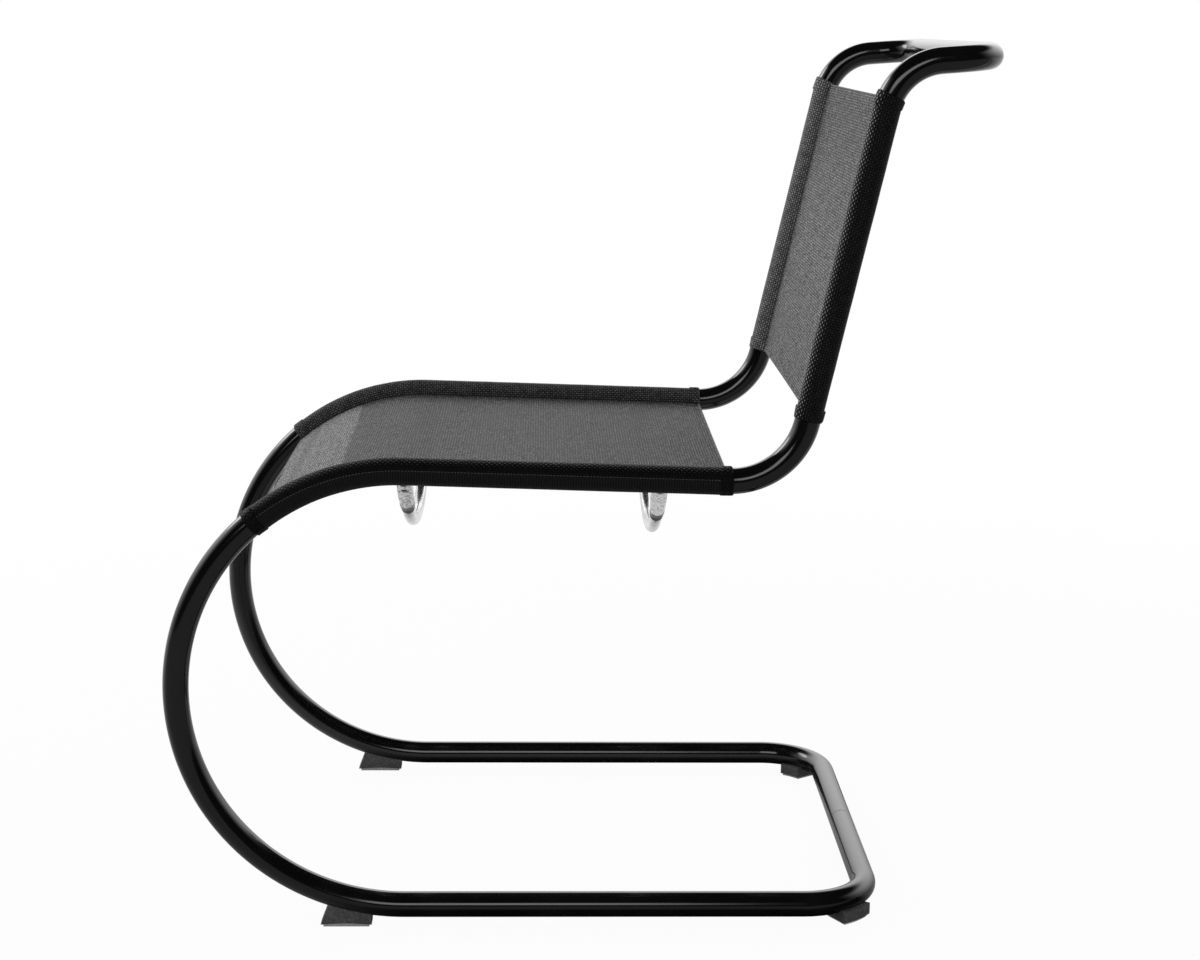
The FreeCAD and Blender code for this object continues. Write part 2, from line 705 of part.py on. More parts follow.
def build():
    """Every piece of the chair by name."""
    pieces = {
        "frame_tube": frame_tube(),
        "seam_plug": seam_plug(),
        "seam_screws": seam_screws(),
        "seat_panel": seat_panel(),
        "back_panel": back_panel(),
        "glide_screws": glide_screws(),
    }
    pairs = {
        "seat_sleeve": seat_sleeve(),
        "seat_binding": seat_binding(),
        "back_sleeve": back_sleeve(),
        "glide_front": front_glide(),
        "glide_rear": rear_glide(),
        "pad_front": front_pad(),
        "pad_rear": rear_pad(),
    }
    small = {"brace_bushes": brace_bush, "brace_studs": brace_stud, "brace_lock_rings": brace_lock_ring,
             "rail_inserts": rail_insert, "collar_screws": collar_screw}
    for place, path in BRACES.items():
        pieces["brace_rod_" + place] = brace_rod(path)
        pairs["brace_collar_" + place] = brace_collar(path)
        pairs["brace_saddle_" + place] = brace_saddle(path)
    for name, shape in pairs.items():
        pieces[name + "_left"] = shape
        pieces[name + "_right"] = mirrored(shape)
    for name, maker in small.items():
        left = [maker(path) for path in BRACES.values()]
        pieces[name] = group(left + [mirrored(shape) for shape in left])
    return pieces


os.makedirs("parts", exist_ok=True)
for node, shape in sorted(build().items()):
    box = shape.BoundBox
    print(node, "solids", len(shape.Solids), "valid", shape.isValid(), "volume", round(shape.Volume),
          "x", round(box.XMin, 1), round(box.XMax, 1), "y", round(box.YMin, 1), round(box.YMax, 1),
          "z", round(box.ZMin, 1), round(box.ZMax, 1))
    shape.exportStep("parts/" + node + ".step")
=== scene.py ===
import json
import logging
from dataclasses import KW_ONLY, dataclass, field, replace
from enum import Enum
from math import asin, ceil, cos, degrees, exp, pi, radians, sin, sqrt
from typing import Any, Callable, Sequence

import bmesh
import bpy
from mathutils import Matrix, Quaternion, Vector, noise

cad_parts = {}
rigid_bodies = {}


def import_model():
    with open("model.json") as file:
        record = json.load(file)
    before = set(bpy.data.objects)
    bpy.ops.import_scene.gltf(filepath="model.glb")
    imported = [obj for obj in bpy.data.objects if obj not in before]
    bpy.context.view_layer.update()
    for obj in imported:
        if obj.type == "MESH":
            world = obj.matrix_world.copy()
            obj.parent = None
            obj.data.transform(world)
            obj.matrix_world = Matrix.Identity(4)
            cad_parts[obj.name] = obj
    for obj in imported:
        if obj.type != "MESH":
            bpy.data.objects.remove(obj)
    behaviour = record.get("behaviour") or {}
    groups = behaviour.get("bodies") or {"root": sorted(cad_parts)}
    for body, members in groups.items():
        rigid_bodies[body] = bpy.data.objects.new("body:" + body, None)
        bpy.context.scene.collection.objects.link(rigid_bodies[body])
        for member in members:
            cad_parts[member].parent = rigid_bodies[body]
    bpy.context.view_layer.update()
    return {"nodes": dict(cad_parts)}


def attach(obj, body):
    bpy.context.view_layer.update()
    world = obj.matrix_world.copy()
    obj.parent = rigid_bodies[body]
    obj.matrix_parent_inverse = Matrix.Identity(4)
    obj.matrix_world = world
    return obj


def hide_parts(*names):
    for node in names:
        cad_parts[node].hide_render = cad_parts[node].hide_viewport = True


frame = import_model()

# A cantilever side chair: bent tube frame, woven slings, bowed braces and floor glides.
# Lengths are in metres in the CAD frame: +Z up, the sitter faces -Y, +X is the sitter's left.
# The angles among the sizes are in degrees.

log = logging.getLogger("cantilever_chair")

MM = 0.001
BODY = "root"
X_AXIS = Vector((1, 0, 0))
Y_AXIS = Vector((0, 1, 0))
Z_AXIS = Vector((0, 0, 1))

Span = tuple[float, float]
Triple = tuple[float, float, float]
Socket = bpy.types.NodeSocket
Piece = bpy.types.Object


class Choice(Enum):
    """A choice whose name goes into the names of pieces."""

    @property
    def label(self) -> str:
        """The choice's name in a piece's name."""
        return self.name.lower()


class Side(Choice):
    """The two sides of the chair, by the sign of X."""

    LEFT = 1
    RIGHT = -1

    def place(self, point: Vector) -> Vector:
        """A point of the left side, carried to this side."""
        return Vector((point.x * self.value, point.y, point.z))


class End(Choice):
    """The two ends of a sling, along the rails from the base upwards."""

    START = 0
    FINISH = 1


# Sizes


@dataclass(frozen=True)
class FrameSizes:
    """The bent tube and the side profile of its axis."""

    tube_radius: float = 12.5 * MM
    tube_bore: float = 10.5 * MM
    width: float = 500 * MM
    seam_gap: float = 0.3 * MM
    floor_to_tube: float = 8.5 * MM
    base_straight: float = 393 * MM
    base_corner: float = 68 * MM
    loop_radius: float = 217.5 * MM
    loop_turn: float = 128.3
    crest_radius: float = 213.5 * MM
    seat_fall: float = 1.5
    seat_straight: float = 308.5 * MM
    lumbar_radius: float = 73 * MM
    back_lean: float = 12.6
    back_straight: float = 301 * MM
    top_radius: float = 56 * MM
    top_rise: float = 4.5
    top_straight: float = 8.5 * MM
    top_corner: float = 42 * MM

    @property
    def rail_x(self) -> float:
        """The distance of a side rail's axis from the middle."""
        return self.width / 2 - self.tube_radius

    @property
    def base_z(self) -> float:
        """The height of the base tube's axis."""
        return self.floor_to_tube + self.tube_radius


@dataclass(frozen=True)
class Ripple:
    """The unevenness of cloth on a round: how busy it is around, its pitch along and its depth."""

    around: float
    pitch: float
    depth: float

    def lift(self, angle: float, distance: float) -> float:
        """How far it lifts the cloth at an angle round it and a distance along it."""
        spot = cos(angle) * self.around, sin(angle) * self.around, distance / self.pitch
        return noise.noise(Vector(spot)) * self.depth


@dataclass(frozen=True)
class SlingSizes:
    """The cloth of the seat and the back.

    A hem's rise and fall are places along it and depths below its top, both in hem edges. Steps
    are the spacing of points on a straight and the turn between them on an arc.
    """

    sleeve_radius: float = 13.1 * MM
    sleeve_inner: float = 12.56 * MM
    sleeve_steps: Span = (8 * MM, 2.0)
    sleeve_ripple: Ripple = Ripple(1.3, 22 * MM, 0.16 * MM)
    hem_radius: float = 14.1 * MM
    hem_band: float = 12 * MM
    hem_edge: float = 0.6 * MM
    hem_rise: tuple[Span, ...] = ((0.0, 2.0), (0.8, 0.9), (2.0, 0.3), (4.0, 0.0))
    hem_fall: tuple[Span, ...] = ((-2.0, 0.0), (-1.0, 0.0), (-0.3, 0.3), (0.0, 1.0))
    hem_step: float = 0.1 * MM
    hem_ripple: Ripple = Ripple(3.1, 5 * MM, 1.0 * MM)
    panel_cloth: float = 0.9 * MM
    panel_set_back: float = 3 * MM
    panel_tuck: float = 0.3 * MM
    panel_steps: Span = (3 * MM, 1.5)
    turned_gap: float = 0.05 * MM
    turned_cloth: float = 0.7 * MM
    sag_from: float = 0.15
    sag_over: float = 0.7
    bow_over: float = 6.0
    crease_depth: float = 1.2 * MM
    crease_spread: float = 5 * MM
    seat_front_lap: float = 158.5 * MM
    seat_rear_lap: float = 4 * MM
    seat_front_hem: float = 87 * MM
    seat_crease: float = 28 * MM
    plain_hem: float = 10 * MM
    back_bottom_gap: float = 2 * MM
    back_top_lap: float = 12.5 * MM
    edge_radius: float = 0.75 * MM
    edge_lift: float = 0.3 * MM
    edge_reach: float = 0.995
    edge_sides: int = 10
    binding_radius: float = 13.5 * MM
    binding_under: float = 0.1 * MM
    binding_thinner: float = 0.2 * MM
    binding_gap: float = 0.3 * MM
    binding_top: float = 165.0
    binding_bottom: float = 272.0
    binding_strips: int = 20
    binding_wave_turn: float = 40.0
    binding_wave_pitch: float = 30 * MM
    binding_wave: float = 0.12 * MM
    seam_angle: float = -13.0
    seam_spread: float = 5.0
    seam_ridge: float = 0.45 * MM
    stitch_length: float = 2.2 * MM
    stitch_pitch: float = 3.1 * MM
    stitch_radius: float = 0.22 * MM
    stitch_gap: float = 2 * MM
    stitch_inset: float = 5 * MM
    stitch_turn: float = 3.0
    panel_stitch_steps: Span = (10 * MM, 2.0)
    tape_stitch_steps: Span = (12 * MM, 2.0)


@dataclass(frozen=True)
class BraceSizes:
    """The bowed braces under the seat."""

    sag: float = 90 * MM
    rod_radius: float = 6 * MM
    rod_start: float = 36.4 * MM
    rod_sides: int = 56
    rod_sharp: float = 40.0
    rod_steps: Span = (20 * MM, 0.8)
    front_offset: float = 0.0
    rear_offset: float = 244 * MM


# Paths of straights and arcs


def even_spots(count: int, radius: float) -> list[Span]:
    """Spots evenly spaced round a circle, as angles and radii."""
    return [(2 * pi * j / count, radius) for j in range(count)]


def ring(centre: Vector, first: Vector, second: Vector, spots: Sequence[Span]) -> list[Vector]:
    """Points round a centre, at angles from the first direction to the second and at radii."""
    return [centre + (first * cos(a) + second * sin(a)) * r for a, r in spots]


@dataclass
class Run:
    """One straight or one arc of a path.

    A straight has no centre. An arc turns about its centre, round its axis.
    """

    start: Vector
    heading: Vector
    side: Vector
    length: float
    centre: Vector | None = None
    axis: Vector | None = None
    radius: float = 0.0

    def spin(self, distance: float) -> Quaternion:
        """The turn that the run makes over a distance, none on a straight."""
        return Quaternion() if self.axis is None else Quaternion(self.axis, distance / self.radius)

    def point(self, distance: float) -> Vector:
        """The point at a distance from the start."""
        return (self.start + self.heading * distance if self.centre is None
                else self.centre + self.spin(distance) @ (self.start - self.centre))

    def frame_at(self, distance: float) -> tuple[Vector, Vector, Vector]:
        """The point, the side and the up direction at a distance from the start."""
        side = self.spin(distance) @ self.side
        return self.point(distance), side, (self.spin(distance) @ self.heading).cross(side)


class Path:
    """Straights and arcs, each tangent to the one before it."""

    def __init__(self, start: Vector, heading: Vector, side: Vector) -> None:
        """Start an empty path.

        Args:
            start: Where it starts.
            heading: The direction in which it starts.
            side: A direction square to the heading, carried along without twist.
        """
        self.runs: list[Run] = []
        self.end = start.copy()
        self.heading = heading.normalized()
        self.side = (side - self.heading * side.dot(self.heading)).normalized()

    def _add(self, length: float, *arc: Any) -> "Path":
        """Add a run from the path's end.

        Args:
            length: The run's length.
            arc: The centre, the axis and the radius of an arc, or nothing.

        Returns:
            The path itself, so that calls can follow each other.
        """
        run = Run(self.end.copy(), self.heading.copy(), self.side.copy(), length, *arc)
        self.runs.append(run)
        spin = run.spin(length)
        self.end = run.point(length)
        self.heading = spin @ self.heading
        self.side = spin @ self.side
        return self

    def straight(self, length: float) -> "Path":
        """Add a straight run and return the path."""
        return self._add(length)

    def bend(self, radius: float, turn: float, towards: Vector) -> "Path":
        """Add an arc.

        Args:
            radius: The arc's radius.
            turn: How far it turns, in degrees.
            towards: The side to which it turns.

        Returns:
            The path itself.
        """
        square = (towards - self.heading * towards.dot(self.heading)).normalized()
        axis = self.heading.cross(square).normalized()
        return self._add(radians(turn) * radius, self.end + square * radius, axis, radius)

    def mark(self, count: int) -> float:
        """The distance along the path at the end of its first runs."""
        return sum(run.length for run in self.runs[:count])

    def length(self) -> float:
        """The whole length."""
        return self.mark(len(self.runs))

    def frame_at(self, distance: float) -> tuple[Vector, Vector, Vector]:
        """The point, the side and the up direction at a distance along the path.

        Args:
            distance: How far along the path it is. Past the end, the last run goes on.

        Returns:
            The point and the two directions.
        """
        for run in self.runs[:-1]:
            if distance <= run.length:
                return run.frame_at(distance)
            distance -= run.length
        return self.runs[-1].frame_at(distance)

    def ring(self, distance: float, spots: Sequence[Span], side: Side = Side.LEFT) -> list[Vector]:
        """Points round the path, on one side of the chair."""
        return [side.place(point) for point in ring(*self.frame_at(distance), spots)]

    def stations(self, first: float, last: float, step: float, arc_step: float) -> list[float]:
        """Distances along a stretch, evenly spaced in each run and closer on the arcs.

        Args:
            first: Where the stretch starts.
            last: Where it ends.
            step: The largest spacing on a straight.
            arc_step: The largest turn between two stations, in degrees.

        Returns:
            The distances, from first to last.
        """
        tiny = 1e-6
        marks = [first]
        passed = 0.0
        for run in self.runs:
            low = max(first, passed)
            high = min(last, passed + run.length)
            if high - low > tiny:
                spacing = step
                if run.centre is not None:
                    spacing = min(step, radians(arc_step) * run.radius)
                count = max(1, ceil((high - low) / spacing - tiny))
                marks += [low + (high - low) * i / count for i in range(1, count + 1)]
            passed += run.length
        return marks


class ChairPaths:
    """The axes of the frame and the braces, worked out from the sizes."""

    def __init__(self, sizes: FrameSizes) -> None:
        """Place the side's axis so that the frame is centred front to back.

        Args:
            sizes: The frame's sizes.
        """
        self.sizes = sizes
        trial = self._side(sizes.rail_x, 0.0)
        front = trial.runs[1].centre.y - sizes.loop_radius - sizes.tube_radius
        rear = trial.end.y + sizes.top_corner * trial.heading.y + sizes.tube_radius
        self.shift = -(front + rear) / 2
        self.side = self._side(sizes.rail_x, self.shift)
        self.middle = self._side(0.0, self.shift)
        # The base, the loop and the crest come before the seat, the lumbar bend before the back.
        self.seat_start, self.seat_end, self.back_start, self.back_end = (
            self.side.mark(runs) for runs in (3, 4, 5, 6))

    def _climb(self, path: Path) -> Path:
        """Take a path from the base's rear corner to the top corner.

        Args:
            path: A path that ends at the base's rear corner.

        Returns:
            The path itself.
        """
        s = self.sizes
        path.straight(s.base_straight)
        path.bend(s.loop_radius, s.loop_turn, Z_AXIS)
        path.bend(s.crest_radius, 180 - s.loop_turn + s.seat_fall, Y_AXIS)
        path.straight(s.seat_straight)
        path.bend(s.lumbar_radius, 90 - s.back_lean + s.seat_fall, Z_AXIS)
        path.straight(s.back_straight)
        path.bend(s.top_radius, 90 - s.back_lean - s.top_rise, Y_AXIS)
        return path.straight(s.top_straight)

    def _side(self, x: float, shift: float) -> Path:
        """The axis of one side, from the base's rear corner to the top corner."""
        return self._climb(Path(Vector((x, shift, self.sizes.base_z)), -Y_AXIS, -X_AXIS))

    def half_frame(self) -> Path:
        """The tube's axis from the base seam round the left side to the middle of the top."""
        s = self.sizes
        start = Vector((s.seam_gap / 2, self.shift + s.base_corner, s.base_z))
        path = Path(start, X_AXIS, -Y_AXIS).straight(s.rail_x - s.base_corner - s.seam_gap / 2)
        self._climb(path.bend(s.base_corner, 90, -Y_AXIS)).bend(s.top_corner, 90, -X_AXIS)
        return path.straight(path.end.x)

    def brace(self, offset: float, sag: float) -> Path:
        """The axis of a brace, a single bow from the left rail's axis to the right one's.

        Args:
            offset: How far behind the start of the seat's straight it stands.
            sag: How far its middle hangs below the rails' axes.

        Returns:
            The path.
        """
        top = self.side.frame_at(self.seat_start + offset)[0]
        half = self.sizes.rail_x
        radius = (half ** 2 + sag ** 2) / (2 * sag)
        angle = asin(half / radius)
        path = Path(top, Vector((-cos(angle), 0, -sin(angle))), Y_AXIS)
        return path.bend(radius, degrees(2 * angle), Z_AXIS)


# Node trees


class Nodes:
    """A node tree that is being laid out."""

    family = "ShaderNode"

    def __init__(self, tree: bpy.types.NodeTree) -> None:
        """Add to a tree."""
        self.tree = tree

    def node(self, kind: str, sockets: dict[Any, Any] | None = None,
             **settings: Any) -> bpy.types.Node:
        """Add a node.

        Args:
            kind: The node's type, without the name of the tree's own family.
            sockets: Values or links of its inputs, by name or place.
            settings: Its properties, set first.

        Returns:
            The node.
        """
        made = self.tree.nodes.new(kind if "Node" in kind else self.family + kind)
        for key, value in settings.items():
            setattr(made, key, value)
        for key, value in (sockets or {}).items():
            self.feed(made.inputs[key], value)
        return made

    def feed(self, socket: Socket, value: Any) -> None:
        """Link an input or set its value.

        Args:
            socket: The input.
            value: A signal, a socket, a node that stands for its first output, or a plain value.
        """
        if isinstance(value, bpy.types.Node):
            value = value.outputs[0]
        value = getattr(value, "socket", value)
        if isinstance(value, Socket):
            self.tree.links.new(value, socket)
        else:
            socket.default_value = value

    def signal(self, kind: str, sockets: dict[Any, Any], **settings: Any) -> "Signal":
        """The first output of a new node, as a signal."""
        return Signal(self, self.node(kind, sockets, **settings).outputs[0])

    def split(self, vector: Socket | bpy.types.Node) -> list["Signal"]:
        """The three parts of a vector."""
        return [Signal(self, part) for part in self.node("SeparateXYZ", {"Vector": vector}).outputs]

    def rays(self) -> tuple["Signal", "Signal"]:
        """Whether a ray is glossy, and whether the camera sees it, also through the cloth."""
        found = self.node("LightPath").outputs
        glossy, camera, through = (Signal(self, found["Is %s Ray" % name])
                                   for name in ("Glossy", "Camera", "Transmission"))
        return glossy, camera.most(through)


def sign(operation: str, reflected: bool = False) -> Callable[["Signal", Any], "Signal"]:
    """The method of an arithmetic sign.

    Args:
        operation: The Math node's operation.
        reflected: True if the signal stands on the right of the sign.

    Returns:
        The method.
    """
    def method(self: "Signal", other: "Signal | float") -> "Signal":
        """The result with another signal or a number."""
        pair = {0: other, 1: self} if reflected else {0: self, 1: other}
        return self.nodes.signal("Math", pair, operation=operation)

    return method


class Signal:
    """A number that varies over a surface. Arithmetic on it adds Math nodes."""

    def __init__(self, nodes: Nodes, socket: Socket) -> None:
        """Wrap an output socket of a tree."""
        self.nodes = nodes
        self.socket = socket

    __add__ = __radd__ = sign("ADD")
    __mul__ = __rmul__ = sign("MULTIPLY")
    __sub__, __rsub__ = sign("SUBTRACT"), sign("SUBTRACT", True)
    __truediv__, __rtruediv__ = sign("DIVIDE"), sign("DIVIDE", True)
    __pow__, __rpow__ = sign("POWER"), sign("POWER", True)

    def apply(self, operation: str, *others: "Signal | float") -> "Signal":
        """The result of a Math node on this signal and others."""
        return self.nodes.signal("Math", dict(enumerate((self, *others))), operation=operation)

    def sine(self) -> "Signal":
        """The sine of this."""
        return self.apply("SINE")

    def size(self) -> "Signal":
        """This without its sign."""
        return self.apply("ABSOLUTE")

    def most(self, other: "Signal | float") -> "Signal":
        """The larger of this and another."""
        return self.apply("MAXIMUM", other)

    def ramp(self, low: float, high: float, to_low: float = 0.0, to_high: float = 1.0) -> "Signal":
        """This eased from one range to another, and held at its ends."""
        sockets = {"Value": self, "From Min": low, "From Max": high, "To Min": to_low,
                   "To Max": to_high}
        return self.nodes.signal("MapRange", sockets, interpolation_type="SMOOTHSTEP")

    def fall(self, low: float, high: float) -> "Signal":
        """One below a range, easing to zero above it."""
        return self.ramp(low, high, 1.0, 0.0)


@dataclass(frozen=True)
class Grain:
    """Smooth noise in object space.

    The scale is its number of features to a metre, the detail its number of finer layers and the
    roughness their strength. The stretch scales the axes. A ramp eases the noise to a new range.
    """

    scale: float
    detail: float = 3.0
    stretch: Triple = (1.0, 1.0, 1.0)
    roughness: float = 0.55
    ramp: tuple[float, ...] = ()


def grey(level: float, blue: float | None = None) -> Triple:
    """A grey, with a blue of its own if that is given."""
    return level, level, level if blue is None else blue


class Paint(Nodes):
    """A material that is being made."""

    def __init__(self, name: str) -> None:
        """Start a material with one Principled shader.

        Args:
            name: The material's name.
        """
        self.material = bpy.data.materials.new(name)
        self.material.use_nodes = True
        super().__init__(self.material.node_tree)
        self.tree.nodes.clear()
        self.shader = self.node("BsdfPrincipled")
        self.out = self.node("OutputMaterial", {"Surface": self.shader})

    def surface(self, **sockets: Any) -> None:
        """Set or feed the shader's sockets, spaces in their names written as underscores."""
        for key, value in sockets.items():
            self.feed(self.shader.inputs[key.replace("_", " ")], value)

    def position(self, scale: Triple = (1.0, 1.0, 1.0)) -> bpy.types.Node:
        """The place on the object, scaled."""
        place = self.node("TexCoord").outputs["Object"]
        return self.node("Mapping", {"Vector": place, "Scale": scale})

    def cloth_place(self) -> list[Signal]:
        """The place on the cloth in metres, across and along it."""
        return self.split(self.node("UVMap", uv_map="cloth"))[:2]

    def grain(self, grain: Grain) -> Signal:
        """A grain's noise, eased if it has a ramp.

        Args:
            grain: The grain.

        Returns:
            The noise, from 0 to 1 without a ramp.
        """
        made = self.signal("TexNoise", {
            "Vector": self.position(grain.stretch), "Scale": grain.scale,
            "Detail": grain.detail, "Roughness": grain.roughness})
        return made.ramp(*grain.ramp) if grain.ramp else made

    def blend(self, factor: Signal, low: Triple | Socket, high: Triple | Socket) -> Socket:
        """A colour between two, by a signal."""
        ends = [(*end, 1.0) if isinstance(end, tuple) else end for end in (low, high)]
        return self.node("Mix", {0: factor, 6: ends[0], 7: ends[1]}, data_type="RGBA").outputs[2]

    def relief(self, height: Signal, distance: float, strength: float) -> bpy.types.Node:
        """The surface raised by a signal, to a height in metres."""
        return self.node("Bump", {"Height": height, "Distance": distance, "Strength": strength})


# Finishes


@dataclass(frozen=True)
class Finish:
    """A surface finish. Each kind lays its own nodes.

    A mask makes the surface rougher, and a relief of some height and strength unevens it.
    """

    name: str
    slot: str
    _: KW_ONLY
    roughness: float
    rougher: float
    height: float
    strength: float = 0.6
    metallic: float = 0.0
    specular: float = 0.5

    def lay(self, paint: Paint) -> None:
        """Lay the finish's nodes.

        Args:
            paint: The material that is being made.
        """
        raise NotImplementedError

    def coat(self, paint: Paint, colour: Socket, mask: Signal, raised: Signal) -> None:
        """Feed the shader.

        Args:
            paint: The material that is being made.
            colour: The colour over the surface.
            mask: Where the surface is rougher.
            raised: Its relief.
        """
        paint.surface(Base_Color=colour, Roughness=self.roughness + self.rougher * mask,
                      Metallic=self.metallic, Specular_IOR_Level=self.specular,
                      Normal=paint.relief(raised, self.height, self.strength))

    def material(self) -> bpy.types.Material:
        """The finished material, made once."""
        made = bpy.data.materials.get(self.name)
        if made is None:
            paint = Paint(self.name)
            self.lay(paint)
            made = paint.material
        return made


@dataclass(frozen=True)
class Mottled(Finish):
    """Two tones of one colour in a fine pattern, which also roughens the surface."""

    colour: Triple
    second: Triple
    mottle: Grain
    relief: Grain | None = None

    def lay(self, paint: Paint) -> None:
        """Lay the tones and the relief, which follows the mottling unless it has its own grain.

        Args:
            paint: The material that is being made.
        """
        mottle = paint.grain(self.mottle)
        raised = paint.grain(self.relief) if self.relief else mottle
        self.coat(paint, paint.blend(mottle, self.colour, self.second), mottle, raised)


@dataclass(frozen=True)
class Woven(Finish):
    """A plain weave of coated yarn, with painted highlights and glints on the yarns' tops."""

    valley: Triple
    crest: Triple
    pitch: float
    glint_share: float
    slub: Grain
    lit_from: Span = (0.45, 0.95)
    crossing_span: Span = (0.25, 0.75)
    under: float = 0.25

    def weave(self, paint: Paint, across: Signal, along: Signal) -> tuple[Signal, ...]:
        """Lay the weave on the cloth's own coordinates.

        Args:
            paint: The material that is being made.
            across: The place across the cloth.
            along: The place along it.

        Returns:
            The height of the yarn on top, the gaps between the yarns, the painted highlight on the
            yarns, and the same for the painted glint dots where one yarn lies on top.
        """
        turn = pi / self.pitch
        off_warp = (across * turn).sine()
        off_weft = (along * turn).sine()
        over = (across * turn + pi / 2).sine() * (along * turn + pi / 2).sine()
        warp = (1 - off_warp * off_warp) * (1 - self.under + self.under * over)
        weft = (1 - off_weft * off_weft) * (1 - self.under - self.under * over)
        height = warp.most(weft)
        gap = off_warp.size() * off_weft.size()
        crossing = (0.5 * over + 0.5).ramp(*self.crossing_span)
        yarn = height.ramp(*self.lit_from)
        # Painted highlight on the yarns' tops, brighter at the crossings as painted glints.
        lit = yarn * (1 - self.glint_share + self.glint_share * crossing) * paint.grain(self.slub)
        return height, gap, lit, yarn * crossing


@dataclass(frozen=True)
class MeshCloth(Woven):
    """The weave of a panel, which lets a little light pass."""

    # How much of the painted sheen on the yarns shows.
    sheen_share: float = 0.46
    open_from: float = 0.86
    cloud: Grain = Grain(55, 3, (1.0, 1.0, 1.0), 0.6, (0.3, 0.7, 0.88, 1.12))
    doubled_to: float = 0.0
    doubled_edge: float = 2 * MM
    doubled_sheen_gain: float = 3.1
    doubled_slant: float = 0.02
    crease_shade_at: float = 0.0
    crease_shade_span: Span = (1 * MM, 9 * MM)
    crease_shade_gain: float = 0.55
    top_shade_over: Span = (0.0, 0.0)
    top_shade_gains: Span = (1.08, 0.64)

    def lay(self, paint: Paint) -> None:
        """Lay the weave, its holes and its relief, with painted sheen and painted shade.

        Args:
            paint: The material that is being made.
        """
        across, along = paint.cloth_place()
        height, gap, lit, _ = self.weave(paint, across, along)
        lit = lit * paint.grain(self.cloud)
        # Painted sheen: the doubled hem band is made lighter.
        if self.doubled_to:
            end = along - across * self.doubled_slant
            lit = lit * end.ramp(self.doubled_to - self.doubled_edge,
                                 self.doubled_to + self.doubled_edge, self.doubled_sheen_gain, 1.0)
        # Painted shade: the colour is darkened along the crease.
        if self.crease_shade_at:
            off_crease = (along - self.crease_shade_at).size()
            lit = lit * off_crease.ramp(*self.crease_shade_span, self.crease_shade_gain, 1.0)
        # Painted shade: the colour darkens towards the cloth's top end.
        if any(self.top_shade_over):
            lit = lit * along.ramp(*self.top_shade_over, *self.top_shade_gains)
        paint.surface(Alpha=1 - gap.ramp(self.open_from, 1.0))
        self.coat(paint, paint.blend(lit * self.sheen_share, self.valley, self.crest), height, height)


@dataclass(frozen=True)
class SleeveCloth(Woven):
    """The weave laid double round a rail, with painted light on the side towards the panel."""

    # Colours of the painted light on the side towards the panel.
    lit_side_valley: Triple = grey(0.006)
    lit_side_crest: Triple = grey(0.22, 0.222)
    girth: float = 82.31 * MM
    lean: float = 0.035
    ragged: float = 0.13
    lit_side_span: Span = (0.13, 0.25)

    def lay(self, paint: Paint) -> None:
        """Lay the weave, its relief and the painted light on the panel's side, edged by the yarns.

        Args:
            paint: The material that is being made.
        """
        across, along = paint.cloth_place()
        height, _, lit, dots = self.weave(paint, across, along)
        turned = ((across / self.girth + (0.5 - self.lean)).apply("FRACT") - 0.5).size()
        # Painted light on the side towards the panel, with a border ragged along the glint dots.
        painted_lit_side = (turned - self.ragged * dots).fall(*self.lit_side_span)
        outside = paint.blend(lit, self.valley, self.crest)
        inside = paint.blend(lit, self.lit_side_valley, self.lit_side_crest)
        self.coat(paint, paint.blend(painted_lit_side, outside, inside), height, height)


@dataclass(frozen=True)
class RibbedTape(Finish):
    """Binding tape with fine ribs across its length."""

    valley: Triple
    crest: Triple
    pitch: float
    fibre: Grain = Grain(900, 2)
    fibre_share: float = 0.2

    def lay(self, paint: Paint) -> None:
        """Lay the ribs and their fibres.

        Args:
            paint: The material that is being made.
        """
        _, along = paint.cloth_place()
        rib = (along * (2 * pi / self.pitch)).sine() * 0.5 + 0.5
        fibre = paint.grain(self.fibre)
        colour = paint.blend(rib * fibre, self.valley, self.crest)
        self.coat(paint, colour, fibre, rib + self.fibre_share * fibre)


@dataclass(frozen=True)
class MouldedPlastic(Finish):
    """Moulded plastic with a fine spark texture and scuffs."""

    colour: Triple
    scuffed: Triple
    scuff: Grain = Grain(60, 6, (1.0, 1.0, 3.0), ramp=(0.5, 0.8))
    scuff_share: float = 0.3
    spark: Grain = Grain(380, 4, roughness=0.8)
    spark_span: Span = (0.44, 0.64)
    spark_share: float = 0.4

    def lay(self, paint: Paint) -> None:
        """Lay the texture and the scuffs.

        Args:
            paint: The material that is being made.
        """
        scuff = paint.grain(self.scuff)
        spark = paint.grain(self.spark)
        paler = scuff * self.scuff_share + spark.ramp(*self.spark_span) * self.spark_share
        self.coat(paint, paint.blend(paler, self.colour, self.scuffed), scuff, spark)


FRAME_COAT = Mottled("gloss_black_coat", "frame_gloss", grey(0.0035, 0.0038), grey(0.006, 0.0065),
                     mottle=Grain(14, 5, ramp=(0.45, 0.7)), roughness=0.11, rougher=0.03,
                     relief=Grain(420, 2), height=0.02 * MM, strength=0.25)
# The crest colour of the seat cloth is painted sheen on black yarn.
SEAT_CLOTH = MeshCloth("seat_mesh_cloth", "mesh_cloth", grey(0.012, 0.0125), grey(0.72, 0.725),
                       pitch=2.7 * MM, glint_share=0.75,
                       slub=Grain(560, 1, (0.4, 1.0, 1.0), 0.5, (0.32, 0.68, 0.2, 1.65)),
                       roughness=0.7, rougher=-0.15, height=0.2 * MM, specular=0.12)
